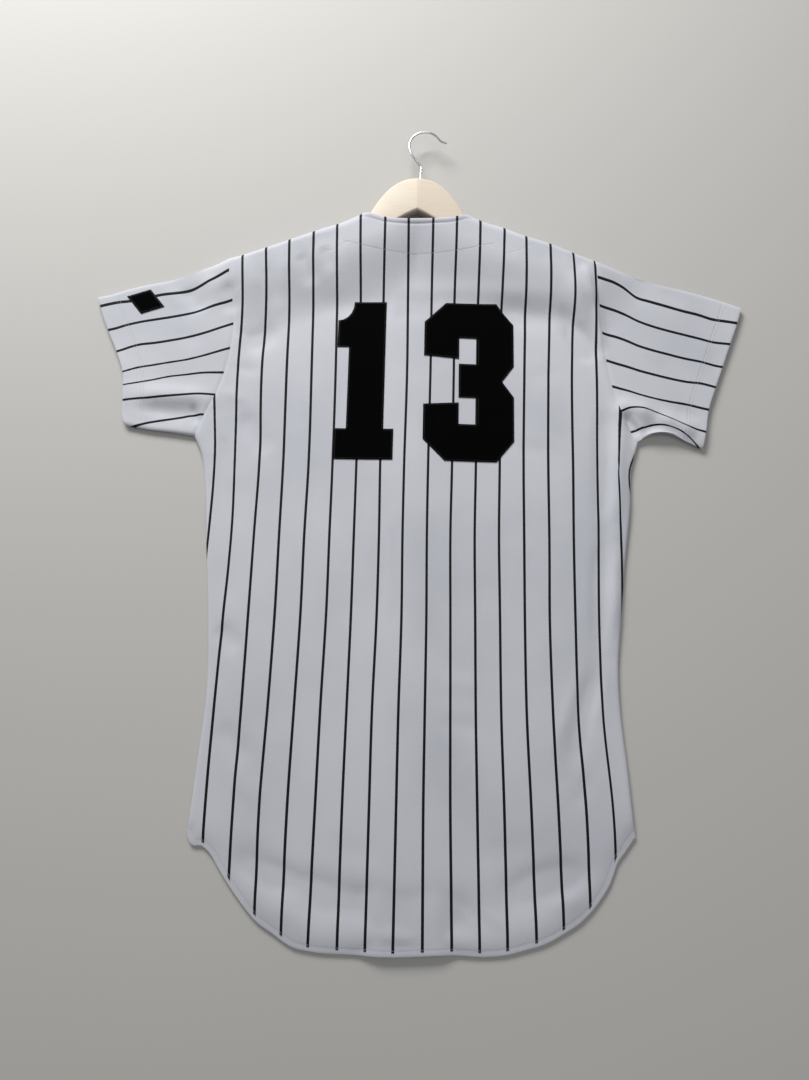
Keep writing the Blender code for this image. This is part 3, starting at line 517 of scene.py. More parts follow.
LEFT_STRIPES = (
    (725, 731, 733, 736, 742, 745, 751, 761, 773),
    (690, 697, 702, 706, 710, 714, 719, 727, 735),
    (655, 665, 671, 676, 679, 683, 688, 694, 703),
    (630, 637, 641, 646, 650, 654, 658, 664, 672),
    (617, 620, 624, 627, 631, 636, 639, 642, 643),
    (603, 604, 605, 607, 608, 610, 612, 614, 614),
    (566, 567, 568, 571, 577, 581, 585, 589, 587))
RIGHT_STATIONS = (220, 240, 250, 265, 280, 300, 320, 340, 355, 375)
RIGHT_STRIPES = (
    (773, 768, 763, 752, 747, 741, 735, 730, 725, 722),
    (738, 733, 729, 721, 715, 709, 704, 699, 695, 693),
    (704, 699, 695, 688, 683, 678, 673, 669, 665, 661),
    (671, 664, 661, 656, 652, 647, 643, 641, 637, 632),
    (640, 633, 630, 625, 621, 617, 614, 609, 606, 602),
    (604, 603, 607, 608, 604, 594, 585, 580, 577, 573),
    (576, 576, 578, 583, 588, 585, 573, 552, 540, 530))


def stripe_number(rows, stations, station, place, beyond=PITCH):
    """How many stripe lines have been passed at this place: each gap between lines adds one."""
    lines = []
    for row in rows:
        knots = [(s / 1000, r / 1000, 0) for s, r in zip(stations, row)]
        (s0, r0, _), (s1, r1, _) = knots[:2]
        (s2, r2, _), (s3, r3, _) = knots[-2:]
        knots = [(2 * s0 - s1, 2 * r0 - r1, 0), *knots, (2 * s3 - s2, 2 * r3 - r2, 0)]
        share = (station - knots[0][0]) / (knots[-1][0] - knots[0][0])
        lines.append(curve(knots, 0)(share)[..., 1])
    number = np.minimum(0, (place - lines[0]) / PITCH)
    for low, high in zip(lines[:-1], lines[1:]):
        number = number + np.clip((place - low) / (high - low), 0, 1)
    return number + np.maximum(0, (place - lines[-1]) / beyond)


def body_cloth(x, y):
    """Cloth coordinates of the back: stripe count times pitch, and the height."""
    return np.stack([stripe_number(BODY_STRIPES, BODY_HEIGHTS, y, x) * PITCH, y], -1)


def sleeve_cloth(side, x, y):
    """Cloth coordinates of a sleeve, whose stripes run from armhole to cuff."""
    rows, stations = (LEFT_STRIPES, LEFT_STATIONS) if side < 0 else (RIGHT_STRIPES, RIGHT_STATIONS)
    number = stripe_number(rows[::-1], stations, x, y, SLEEVE_BEYOND)
    return np.stack([number * PITCH, x], -1)


print("stripes on the body:", len(BODY_STRIPES), "and on each sleeve:", len(LEFT_STRIPES))

# %% [markdown]
# ## Shader maths in plain Python
#
# A material is a sum of small ideas, such as one minus a mask. One class wraps a socket so that
# `+ - * /` add the Math nodes. Every other node comes from one method.

# %% Sockets with arithmetic
class Wire:
    """A shader socket. Arithmetic on it adds Math nodes."""

    def __init__(self, finish, socket):
        self.finish, self.socket = finish, socket

    def math(self, operation, *values):
        inputs = dict(enumerate(values))
        return self.finish.node("ShaderNodeMath", {"operation": operation}, inputs)

    def __add__(self, other): return self.math("ADD", self, other)
    def __radd__(self, other): return self.math("ADD", other, self)
    def __sub__(self, other): return self.math("SUBTRACT", self, other)
    def __rsub__(self, other): return self.math("SUBTRACT", other, self)
    def __mul__(self, other): return self.math("MULTIPLY", self, other)
    def __rmul__(self, other): return self.math("MULTIPLY", other, self)
    def __truediv__(self, other): return self.math("DIVIDE", self, other)
    def __neg__(self): return self.math("MULTIPLY", self, -1.0)

    def sine(self): return self.math("SINE", self)
    def size(self): return self.math("ABSOLUTE", self)
    def part(self): return self.math("FRACT", self)

    def between(self, low, high):
        """0 below low, 1 above high, and a smooth step between them."""
        names = {"Value": self, "From Min": low, "From Max": high, "To Min": 0.0, "To Max": 1.0}
        return self.finish.node("ShaderNodeMapRange", {"interpolation_type": "SMOOTHSTEP"}, names)

    def bell(self, middle, width):
        """A bump of height 1 round a middle value."""
        away = (self - middle) / width
        return self.math("EXPONENT", -(away * away))


class Finish:
    """A material with its Principled shader, and one method that adds any node."""

    def __init__(self, name, **constants):
        self.material = bpy.data.materials.new(name)
        self.material.use_nodes = True
        self.tree = self.material.node_tree
        self.shader = self.tree.nodes["Principled BSDF"]
        for socket, value in constants.items():
            self.shader.inputs[socket.replace("_", " ")].default_value = value

    def node(self, kind, settings=None, values=None, out=0):
        made = self.tree.nodes.new(kind)
        for key, value in (settings or {}).items():
            setattr(made, key, value)
        for key, value in (values or {}).items():
            self.feed(made.inputs[key], value)
        return Wire(self, made.outputs[out])

    def feed(self, socket, value):
        if isinstance(value, Wire):
            self.tree.links.new(value.socket, socket)
        elif isinstance(value, tuple) and len(value) == 3 and socket.type == "RGBA":
            socket.default_value = (*value, 1)
        else:
            socket.default_value = value

    def noise(self, at, scale, detail=2.0, rough=0.5):
        names = {"Vector": at, "Scale": scale, "Detail": detail, "Roughness": rough}
        return self.node("ShaderNodeTexNoise", None, names)

    def mix(self, factor, first, second):
        """A colour between two colours. Inputs 0, 6 and 7 are the factor and the colours."""
        inputs = {0: factor, 6: first, 7: second}
        return self.node("ShaderNodeMix", {"data_type": "RGBA"}, inputs, 2)

    def axis(self, vector, number):
        return self.node("ShaderNodeSeparateXYZ", None, {0: vector}, number)

    def scaled(self, vector, scale):
        return self.node("ShaderNodeMapping", None, {"Vector": vector, "Scale": scale})

    def place(self):
        """Object coordinates: every piece sits at the origin, so these are metres in the world."""
        return self.node("ShaderNodeTexCoord", None, None, 3)

    def value_of(self, name):
        return self.node("ShaderNodeAttribute", {"attribute_name": name}, None, 2)

    def bump(self, height, distance, strength=1.0):
        names = {"Height": height, "Distance": distance, "Strength": strength}
        return self.node("ShaderNodeBump", None, names)

    def wear(self, **links):
        for socket, value in links.items():
            self.feed(self.shader.inputs[socket.replace("_", " ")], value)


# %% [markdown]
# ## The knit
#
# The cloth is a polyester double knit: fine columns of loops, a soft sheen, pale grey with a
# touch of blue. Pinstripes are black yarn, so their edges step by a loop here and there. The
# material reads the cloth's own coordinates, and measures kept on each point: `rim`, the distance
# to the hem, near which the stripes fade out as a painted highlight along its rolled edge;
# `facing`, a mask of painted shade above the neck facing; and `sewn`, the distance to the
# nearest stitching.

# %% Knit cloth
GREY = (0.560, 0.571, 0.614)
# GREY_DEEP is a random deeper tone of the knit, and also the painted shade above the neck facing
GREY_DEEP = (0.500, 0.512, 0.558)
YARN_BLACK = (0.0020, 0.0020, 0.0040)
LOOP = 0.0011             # width of a column of loops
YARN_STEP = 0.0003        # how far loops push a stripe's edge to and fro
STRIPE_SOFT = 0.0002
# over this distance from the hem the stripes fade out: a painted highlight on the rolled hem edge
HEM_HIGHLIGHT_FADE = (0.0026, 0.0048)
STITCH_DIP = 0.0009


def knit_cloth():
    """Stripe = 1 where the fraction of the stripe count is within half a stripe's width."""
    knit = Finish("knit cloth", Roughness=0.74, Specular_IOR_Level=0.22,
                  Sheen_Weight=0.06, Sheen_Roughness=0.45)
    at = knit.node("ShaderNodeUVMap", {"uv_map": "cloth"})
    across, along = knit.axis(at, 0), knit.axis(at, 1)
    loops = knit.noise(at, 900.0, 1.0)
    off = ((across / PITCH + 0.5).part() - 0.5).size() * PITCH
    off = off + (loops - 0.5) * YARN_STEP
    stripe = 1.0 - off.between(STRIPE_WIDTH / 2 - STRIPE_SOFT, STRIPE_WIDTH / 2 + STRIPE_SOFT)
    # Painted highlight: near the hem the stripes fade to the cloth's grey, so its rolled edge
    # shows light
    stripe = stripe * knit.value_of("rim").between(*HEM_HIGHLIGHT_FADE)
    clouds = knit.noise(knit.place(), 7.0, 3.0)
    cloth = knit.mix(clouds.between(0.35, 0.7), GREY, GREY_DEEP)
    # Painted shade: above the neck facing the cloth is darkened towards GREY_DEEP, as shade where
    # it slopes down from the hanger
    cloth = knit.mix(knit.value_of("facing") * 0.5, cloth, GREY_DEEP)
    columns = (across * (2 * math.pi / LOOP)).sine()
    courses = (along * (2 * math.pi / (LOOP * 0.8)) + columns * 1.2).sine()
    surface = columns * 0.5 + courses * 0.35 + loops * 0.5
    surface = surface - knit.value_of("sewn").bell(0.0, STITCH_DIP) * 2.0
    knit.wear(Base_Color=knit.mix(stripe, cloth, YARN_BLACK),
              Normal=knit.bump(surface, 0.00012, 0.55))
    return knit.material


KNIT = knit_cloth()
print("made", KNIT.name)


# %% [markdown]
# ## Felt, wood, wire, resin and thread
#
# The numbers are black felt, matt and a little fluffy. The hanger is pale birch under thin
# lacquer, in two halves that meet at the middle. The hook is plated wire.

# %% The other finishes
def black_felt():
    felt = Finish("black felt", Roughness=0.95, Specular_IOR_Level=0.02)
    place = felt.place()
    fluff = felt.noise(place, 1400.0, 3.0, 0.7)
    lint = felt.noise(place, 260.0, 2.0).between(0.68, 0.80)
    tone = felt.mix(fluff, (0.0005, 0.0006, 0.0007), (0.0022, 0.0023, 0.0026))
    felt.wear(Base_Color=felt.mix(lint * 0.15, tone, (0.03, 0.03, 0.033)),
              Normal=felt.bump(fluff, 0.0004, 0.6))
    return felt.material


def birch():
    """Grain is noise stretched along the arms. Painted shade makes the right half a shade darker.
    """
    wood = Finish("birch", Specular_IOR_Level=0.35, Coat_Weight=0.06, Coat_Roughness=0.35)
    place = wood.place()
    x = wood.axis(place, 0)
    grain = wood.noise(wood.scaled(place, (22.0, 420.0, 420.0)), 1.0, 4.0, 0.6)
    figure = wood.noise(wood.scaled(place, (4.0, 60.0, 60.0)), 1.0, 2.0)
    tone = wood.mix(grain.between(0.3, 0.75), (0.720, 0.635, 0.520), (0.680, 0.590, 0.475))
    tone = wood.mix(figure.between(0.45, 0.8) * 0.5, tone, (0.700, 0.610, 0.495))
    middle = HANGER_X + HOME[0]
    # Painted shade: the right half of the wood, which slopes away from the key light, is darkened
    half = x.between(middle - 0.0004, middle + 0.0004)
    tone = wood.mix(half * 0.35, tone, (0.62, 0.525, 0.42))
    joint = x.bell(middle, 0.00035)
    wood.wear(Base_Color=wood.mix(joint * 0.22, tone, (0.42, 0.29, 0.18)),
              Roughness=0.46 + grain * 0.14,
              Normal=wood.bump(grain - joint * 2.0, 0.00010, 0.5))
    return wood.material


def plated_steel():
    steel = Finish("plated steel", Base_Color=(0.86, 0.86, 0.88, 1), Metallic=1.0)
    scuffs = steel.noise(steel.place(), 300.0, 3.0)
    steel.wear(Roughness=0.14 + scuffs * 0.16, Normal=steel.bump(scuffs, 0.00004, 0.4))
    return steel.material


def button_resin():
    resin = Finish("button resin", Roughness=0.30, Coat_Weight=0.3, Coat_Roughness=0.12)
    swirl = resin.noise(resin.scaled(resin.place(), (160.0, 420.0, 200.0)), 1.0, 3.0)
    tone = resin.mix(swirl.between(0.35, 0.7), (0.56, 0.58, 0.63), (0.70, 0.71, 0.74))
    resin.wear(Base_Color=tone, Normal=resin.bump(swirl, 0.00003, 0.3))
    return resin.material


def thread(name, light, dark):
    """Twisted yarn: fine slanting bands of light and dark."""
    yarn = Finish(name, Roughness=0.62, Specular_IOR_Level=0.25)
    place = yarn.place()
    twist = ((yarn.axis(place, 0) + yarn.axis(place, 1)) * 9000.0).sine()
    yarn.wear(Base_Color=yarn.mix(twist * 0.5 + 0.5, dark, light),
              Normal=yarn.bump(twist, 0.00004, 0.5))
    return yarn.material


FELT_FINISH = black_felt()
BIRCH = birch()
STEEL = plated_steel()
RESIN = button_resin()
GREY_THREAD = thread("grey thread", (0.52, 0.53, 0.59), (0.36, 0.37, 0.41))
BLACK_THREAD = thread("black thread", (0.0045, 0.0045, 0.0055), (0.001, 0.001, 0.0015))
FINISHES = (KNIT, FELT_FINISH, BIRCH, STEEL, RESIN, GREY_THREAD, BLACK_THREAD)
print("finishes:", [finish.name for finish in FINISHES])

# %% [markdown]
# ## From grids to pieces
#
# A panel of cloth is two grids of points, its outer and its inner face, joined round the rim into
# one closed wall. The same grid gives the cloth coordinates and the measures for the material.

# %% Meshes from arrays
def grid_quads(rows, columns, start=0, wrap=False):
    """Quads of a grid, facing up when rows run to +Y and columns to +X."""
    i = np.arange(rows - 1)[:, None] * columns + start
    j = np.arange(columns if wrap else columns - 1)
    a, b = i + j, i + (j + 1) % columns
    return np.stack([a, b, b + columns, a + columns], -1).reshape(-1, 4)


def strip_quads(first, second):
    """Quads between two closed loops of point numbers."""
    return np.stack([np.roll(first, -1), first, second, np.roll(second, -1)], -1)


def tube_faces(rows, columns):
    """Faces of a tube of rings with a flat face at each end."""
    ring = np.arange(columns)
    return [*grid_quads(rows, columns, 0, True), ring[::-1], ring + (rows - 1) * columns]


def make_object(name, points, faces):
    """A mesh object at the origin, its place in its points."""
    mesh = bpy.data.meshes.new(name)
    mesh.from_pydata((points + HOME).tolist(), [], [list(map(int, face)) for face in faces])
    made = bpy.data.objects.new(name, mesh)
    bpy.context.collection.objects.link(made)
    return made


def make_piece(name, points, faces, material, slot, cloth=None, measures=None, sharp=50):
    """A visible piece that rides on the one body, with what its material reads."""
    piece = make_object(name, points, faces)
    mesh = piece.data
    if cloth is not None:
        corners = np.zeros(len(mesh.loops), int)
        mesh.loops.foreach_get("vertex_index", corners)
        layer = mesh.uv_layers.new(name="cloth")
        layer.data.foreach_set("uv", cloth[corners].astype(np.float32).ravel())
    for key, values in (measures or {}).items():
        held = mesh.attributes.new(key, "FLOAT", "POINT")
        held.data.foreach_set("value", values.astype(np.float32).ravel())
    mesh.shade_smooth()
    mesh.set_sharp_from_angle(angle=math.radians(sharp))
    mesh.materials.append(material)
    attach(piece, "root")
    print(name, "has", len(mesh.polygons), "faces")
    return piece


def wall_faces(rows, columns):
    """Faces of a closed wall whose upper grid comes first."""
    count = rows * columns
    rim = np.concatenate([np.arange(columns), np.arange(1, rows) * columns + columns - 1,
                          (rows - 1) * columns + np.arange(columns - 2, -1, -1),
                          np.arange(rows - 2, 0, -1) * columns])
    return np.vstack([grid_quads(rows, columns), grid_quads(rows, columns, count)[:, ::-1],
                      strip_quads(rim, rim + count)])


def make_wall(name, first, second, faces, cloth, measures):
    """A piece of knit from its two faces, with cloth coordinates and measures alike on both."""
    def both(values):
        return np.concatenate([values.reshape(-1, *values.shape[2:])] * 2)

    points = np.vstack([first.reshape(-1, 3), second.reshape(-1, 3)])
    return make_piece(name, points, faces, KNIT, "knit", both(cloth),
                      {key: both(values) for key, values in measures.items()})


PINCH = 0.33 * WALL
PINCH_REACH = 0.0008


def pinched(over, under, rim):
    """Rounds a raw edge: both faces draw in by a third of the wall close to it."""
    draw = PINCH * (1 - smooth_step(rim / PINCH_REACH))
    over, under = over.copy(), under.copy()
    over[..., 2] -= draw
    under[..., 2] += draw
    return over, under


def nearest_line(*signed):
    """Of several signed distances, the one with the least size, for the stitched lines."""
    lines = np.stack(signed)
    k = np.abs(lines).argmin(0)[None]
    return np.take_along_axis(lines, k, 0)[0]


# %% Grid shares
def rounded(radius, length, turns=9):
    """Shares that crowd into a rounded edge, equal turns of a quarter circle apart."""
    angle = np.linspace(0, np.pi / 2, turns)
    return radius * (1 - np.cos(angle)) / length


UNDERARM_SHARE = 0.66     # of a side's run from hem to shoulder
SHOULDER_CURL = 0.0085
SIDE_LENGTH = 0.445
ARMHOLE_LENGTH = 0.235
SIDE_CURL = 0.005
HEM_STEPS = (0, 0.0009, 0.0022, 0.0040, 0.0056, 0.0072, 0.0095)
NECK_STEPS = (0.0010, 0.0024, 0.0040, 0.0052, 0.0064, 0.0076, 0.0092)


def row_shares(low_rows, high_rows):
    """Rows from hem to shoulder: close at the hem, even to the underarm, close at the top."""
    hem = np.array(HEM_STEPS) / SIDE_LENGTH * UNDERARM_SHARE
    low = np.linspace(hem[-1], UNDERARM_SHARE, low_rows)[1:]
    top = np.union1d(rounded(SHOULDER_CURL, ARMHOLE_LENGTH), np.array(NECK_STEPS) / ARMHOLE_LENGTH)
    high = 1 - np.concatenate([top, np.linspace(top[-1], 1, high_rows)[1:-1]])[::-1]
    return np.concatenate([hem, low, UNDERARM_SHARE + (1 - UNDERARM_SHARE) * high])


def column_shares(cells, length, both=True):
    rim = rounded(SIDE_CURL, length)
    far = 1 - rim[::-1] if both else np.array([1.0])
    return np.concatenate([rim, np.linspace(rim[-1], far[0], cells)[1:-1], far])


def unit(vectors):
    return vectors / np.maximum(np.linalg.norm(vectors, axis=-1, keepdims=True), 1e-9)


def inward(plan, turned_from):
    """Directions away from rounded edges: sideways, and down in the rows over the shoulder."""
    across = unit(np.gradient(plan, axis=1))
    across[:, turned_from:] *= -1
    across[-TOP_ROWS:] = -unit(np.gradient(plan, axis=0))[-TOP_ROWS:]
    return across


LEFT_RUN = chain(curve(LEFT_SIDE), curve(LEFT_ARMHOLE), UNDERARM_SHARE)
RIGHT_RUN = chain(curve(RIGHT_SIDE), curve(RIGHT_ARMHOLE), UNDERARM_SHARE)
TOP_ROWS = 14
ROWS = row_shares(low_rows=112, high_rows=62)
print("rows of a body panel:", len(ROWS))

# %% [markdown]
# ## The back
#
# One panel from the hem to the neck and shoulders, as a maker cuts it. Its hem is turned 6 mm and
# sewn, its neck edge is rolled, and a facing behind the neck shows as a line of stitches. Above it
# the cloth is painted darker: painted shade where it slopes down from the hanger.

# %% Back panel
HEM_TURN = 0.0062
FACING_LOW = 0.7995       # lowest point of the neck facing
FACING_X = -0.004
FACING_HALF = 0.112
FACING_FADE = 0.030


def facing_edge(x):
    """The facing's lower edge is a shallow parabola."""
    return FACING_LOW + 1.7 * (x - FACING_X) ** 2


def body_measures(x, y):
    hem = distance_to(HEM_LINE, x, y)[0]
    sides = smooth_step((FACING_HALF - np.abs(x - FACING_X)) / FACING_FADE)
    above = y - facing_edge(x)
    # facing is painted shade: 1 above the facing line, where the cloth slopes down from the hanger
    return {"rim": hem, "facing": smooth_step(above / 0.0015 + 0.5) * sides,
            "sewn": nearest_line(hem - HEM_TURN, above + (1 - sides) * 0.02)}


def back_plan():
    tip = LEFT_SHOULDER[0].x
    whole = RIGHT_SHOULDER[-1].x - tip
    neck_low = (BACK_NECK[0].x - tip) / whole
    neck_high = (BACK_NECK[-1].x - tip) / whole
    top = chain(chain(curve(LEFT_SHOULDER, 0), curve(BACK_NECK, 0), neck_low / neck_high),
                curve(RIGHT_SHOULDER, 0), neck_high)
    columns = column_shares(120, 0.49)
    return patch(curve(HEM, 0), top, LEFT_RUN, RIGHT_RUN, columns, ROWS)


BACK_PLAN = back_plan()
back_faces = upper_sheet(BACK_PLAN, inward(BACK_PLAN, BACK_PLAN.shape[1] // 2))
back_xy = np.moveaxis(BACK_PLAN, -1, 0)
back_rim = np.minimum(*(distance_to(line, *back_xy)[0] for line in (HEM_LINE, NECK_LINE)))
back = make_wall("back_cloth", *pinched(*back_faces, back_rim), wall_faces(*BACK_PLAN.shape[:2]),
                 body_cloth(*back_xy), body_measures(*back_xy))
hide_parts("back")

# %% [markdown]
# ## The fronts
#
# The two fronts lie face down on the floor and lap at the button stand. The wearer's left front
# is outermost, so it lies lowest. Both are lifted a little by the buttons under the stand.

# %% Front panels
NECK_SHARE = 0.54         # of a front's top edge, the rest being its shoulder
STAND_ROWS = (0.003, 0.029)


def front_sheets(side):
    """Plan, outer and inner points of a front, side -1 for the wearer's left."""
    hem = curve(HEM, 0)
    stand = -side * STAND_HALF
    share = (stand - HEM[0].x) / (HEM[-1].x - HEM[0].x)
    low = float(hem(share)[1])

    def stand_edge(t):
        t = np.asarray(t, float)
        return np.stack([np.full(t.shape, stand), low + (STAND_TOP - low) * t, 0 * t], -1)

    columns = column_shares(60, 0.25, both=False)
    if side < 0:
        top = chain(curve(LEFT_SHOULDER), curve(LEFT_FRONT_NECK), 1 - NECK_SHARE)
        bottom = raised(part_of(hem, 0, share), FRONT_HEM_RAISE)
        plan = patch(bottom, top, LEFT_RUN, stand_edge, columns, ROWS)
        shift = inward(plan, len(columns))
    else:
        top = chain(curve(RIGHT_FRONT_NECK), curve(RIGHT_SHOULDER), NECK_SHARE)
        bottom = raised(part_of(hem, share, 1), FRONT_HEM_RAISE)
        plan = patch(bottom, top, stand_edge, RIGHT_RUN, 1 - columns[::-1], ROWS)
        shift = inward(plan, 0)
    outer, inner = lower_sheet(plan, shift, front_lift(plan[..., 0], side))
    return plan, outer, inner


def make_front(name, node, side):
    plan, outer, inner = front_sheets(side)
    x, y = plan[..., 0], plan[..., 1]
    bottom = joined_segments([np.dstack([plan[:1], 0 * plan[:1, :, :1]])[0]])
    hem = distance_to(bottom, x, y)[0]
    neck = distance_to(FRONT_NECKS, x, y)[0]
    stand = np.abs(x + side * STAND_HALF)
    open_edge = np.minimum(np.minimum(hem, neck), stand)
    sewn = nearest_line(hem - HEM_TURN, neck - HEM_TURN, *(stand - row for row in STAND_ROWS))
    front = make_wall(name, *pinched(inner, outer, open_edge), wall_faces(*plan.shape[:2]),
                      np.stack([x + PITCH / 2, y], -1),
                      {"rim": hem, "facing": 0 * hem, "sewn": sewn})
    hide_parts(node)
    return front


front_left = make_front("front_left_cloth", "front_left", -1)
front_right = make_front("front_right_cloth", "front_right", 1)

# %% [markdown]
# ## The sleeves
#
# A short sleeve is one piece sewn into a tube. Here it lies flat, so its upper and lower halves
# meet at a top fold and at an underarm fold, and it is open at the armhole and the cuff. The cuff
# is turned about 25 mm and sewn twice.

# %% Sleeves
CUFF_TURN = 0.0235
CUFF_SEAM_HALF = 0.0017   # half the way between its two rows of stitches
SLEEVE_STEPS = (0, 0.0011, 0.0022, 0.0034, 0.0050, 0.0075)
CUFF_STEPS = (0, 0.0009, 0.0025, 0.0050)
SLEEVE_LENGTH = 0.130


def sleeve_plan(side):
    """Plan points: rows from the armhole to the cuff, columns from the low fold to the top."""
    near = np.array(SLEEVE_STEPS) / SLEEVE_LENGTH
    far = 1 - np.array(CUFF_STEPS)[::-1] / SLEEVE_LENGTH
    stations = np.concatenate([near, np.linspace(near[-1], far[0], 40)[1:-1], far])
    if side < 0:
        tables = (LEFT_LOW_FOLD, LEFT_TOP_FOLD, LEFT_ARMHOLE, LEFT_CUFF)
    else:
        tables = (RIGHT_LOW_FOLD, RIGHT_TOP_FOLD, RIGHT_ARMHOLE, RIGHT_CUFF)
    low, top, armhole, cuff = [curve(table) for table in tables]
    ring = rounded(SHOULDER_CURL, ARMHOLE_LENGTH)
    ring = np.concatenate([ring, np.linspace(ring[-1], 1 - ring[-1], 64)[1:-1], 1 - ring[::-1]])
    return patch(low, top, armhole, cuff, stations, ring).transpose(1, 0, 2)


def tube_ring(over, under):
    """Rings round a flattened tube: across the top layer, then back along the lower one."""
    return np.concatenate([over, under[:, -2:0:-1]], axis=1)


def make_sleeve(name, node, side):
    plan = sleeve_plan(side)
    shift = unit(np.gradient(plan, axis=1))
    shift[:, plan.shape[1] // 2:] *= -1
    x, y = plan[..., 0], plan[..., 1]
    cuff = distance_to(CUFF_LINES, x, y)[0]
    over, over_inner = pinched(*upper_sheet(plan, shift), cuff)
    under, under_inner = lower_sheet(plan, shift)
    under_inner, under = pinched(under_inner, under, cuff)
    outer, inner = tube_ring(over, under), tube_ring(over_inner, under_inner)
    rows, columns = outer.shape[:2]
    count = rows * columns
    first = np.arange(columns)
    last = first + count - columns
    faces = np.vstack([grid_quads(rows, columns, 0, True),
                       grid_quads(rows, columns, count, True)[:, ::-1],
                       strip_quads(first, first + count),
                       strip_quads(last, last + count)[:, ::-1]])
    if side > 0:
        faces = faces[:, ::-1]
    measures = {"rim": 0 * cuff + 1.0, "facing": 0 * cuff, "sewn": cuff - CUFF_TURN}
    sleeve = make_wall(name, outer, inner, faces, tube_ring(*[sleeve_cloth(side, x, y)] * 2),
                       {key: tube_ring(values, values) for key, values in measures.items()})
    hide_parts(node)
    return sleeve


sleeve_left = make_sleeve("sleeve_left_cloth", "sleeve_left", -1)
sleeve_right = make_sleeve("sleeve_right_cloth", "sleeve_right", 1)

# %% [markdown]
# ## Felt numbers and the sleeve patch
#
# The figures are cut from felt and sewn down round their edges with a close zigzag. A slab that
# follows the cloth is cut to the outline with an exact Boolean, and thins towards its edge, where
# the thread draws it down.

# %% Outlines of the figures
def figure_one():
    """A block one: foot, upright and a flag with a hollow shoulder."""
    low, high = NUMBER_LOW, NUMBER_LOW + NUMBER_HEIGHT
    left, upright = ONE_LEFT, ONE_LEFT + 0.014
    right = upright + STROKE
    foot = 0.038
    shoulder = [(left + 0.019 * math.sin(a), high - 0.025 * math.cos(a))
                for a in map(math.radians, range(0, 91, 18))]
    return [(left, low), (right + 0.012, low), (right + 0.012, low + foot), (right, low + foot),
            (right, high), *reversed(shoulder), (left, high - 0.060), (upright, high - 0.060),
            (upright, low + foot), (left, low + foot)]


def figure_three():
    """A block three: eight-sided, with a waist notch and square-ended hollows."""
    low, high = NUMBER_LOW, NUMBER_LOW + NUMBER_HEIGHT
    left, right = THREE_LEFT, THREE_LEFT + THREE_WIDTH
    middle = (low + high) / 2
    corner, waist = 0.026, 0.014
    inner, bar = right - STROKE, left + 0.042
    slot, stub, half = 0.046, 0.070, 0.0215
    upper = [(right - waist, middle), (right, middle + 1.4 * waist), (right, high - corner),
             (right - 0.8 * corner, high), (left + corner, high), (left, high - corner),
             (left, high - stub), (bar, high - stub - 0.003), (bar, high - slot),
             (inner, high - slot), (inner, middle + half), (bar, middle + half)]
    lower = [(x, 2 * middle - y) for x, y in reversed(upper)]
    return upper + lower[:-1]


def diamond():
    x, y, long_half, short_half, turn = PATCH
    cos, sin = math.cos(turn), math.sin(turn)
    return [(x + a * cos - b * sin, y + a * sin + b * cos)
            for a, b in ((long_half, 0), (0, short_half), (-long_half, 0), (0, -short_half))]


# %% Felt cut to an outline
FELT_STEP = 0.0016
CUTTER_SPAN = (-0.01, 0.06)


def closed_outline(outline):
    return joined_segments([np.array([(x, y, 0) for x, y in outline + outline[:1]])])


def anticlockwise(outline):
    """The outline turned round if the area that it encloses is negative."""
    area = sum(a[0] * b[1] - b[0] * a[1] for a, b in zip(outline, outline[1:] + outline[:1]))
    return outline if area > 0 else outline[::-1]


def outward(piece):
    """Turns faces so that they point out, by the sign of the volume they enclose."""
    tidy = bmesh.new()
    tidy.from_mesh(piece.data)
    turned = tidy.calc_volume(signed=True) < 0
    if turned:
        bmesh.ops.reverse_faces(tidy, faces=tidy.faces)
        tidy.to_mesh(piece.data)
    tidy.free()
    print(piece.name, "was turned" if turned else "points outwards")


def keep_cut(piece, low, high, operation):
    """Applies one exact Boolean with a closed prism between two loops, and drops the prism."""
    cutter = make_object("cutter", np.array(low + high), tube_faces(2, len(low)))
    outward(cutter)
    cut = piece.modifiers.new("cut", "BOOLEAN")
    cut.operation, cut.solver, cut.object = operation, "EXACT", cutter
    graph = bpy.context.evaluated_depsgraph_get()
    whole = piece.data
    piece.data = bpy.data.meshes.new_from_object(piece.evaluated_get(graph))
    piece.data.name = whole.name
    piece.modifiers.clear()
    bpy.data.meshes.remove(whole)
    bpy.data.objects.remove(cutter)
    piece.data.shade_smooth()
    piece.data.set_sharp_from_angle(angle=math.radians(40))


def make_felt(name, node, outline):
    places = np.array(outline)
    low, high = places.min(0) - 2 * FELT_STEP, places.max(0) + 2 * FELT_STEP
    x, y = np.meshgrid(*(np.arange(a, b, FELT_STEP) for a, b in zip(low, high)))
    on_cloth = upper_sheet(np.dstack([x, y]))[0]
    edge = distance_to(closed_outline(outline), x, y)[0]
    thick = FELT * (0.60 + 0.40 * smooth_step(edge / 0.0030))
    over, under = on_cloth.copy(), on_cloth.copy()
    over[..., 2] += GAP / 2 + thick
    under[..., 2] += GAP / 2
    felt = make_piece(name, np.vstack([over.reshape(-1, 3), under.reshape(-1, 3)]),
                      wall_faces(*x.shape), FELT_FINISH, "felt")
    loop = anticlockwise(outline)
    keep_cut(felt, *[[(x, y, z) for x, y in loop] for z in CUTTER_SPAN], "INTERSECT")
    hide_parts(node)
    print(name, "cut to", len(felt.data.polygons), "faces")
    return felt


felts = [make_felt("number_one_felt", "number_one", figure_one()),
         make_felt("number_three_felt", "number_three", figure_three()),
         make_felt("sleeve_patch_felt", "sleeve_patch", diamond())]

# %% [markdown]
# ## Sewing
#
# Each stitch is a short rod with tapered ends that lies on the cloth. All the stitches of one
# thread are one mesh: a small pattern of points is laid at every place at once.

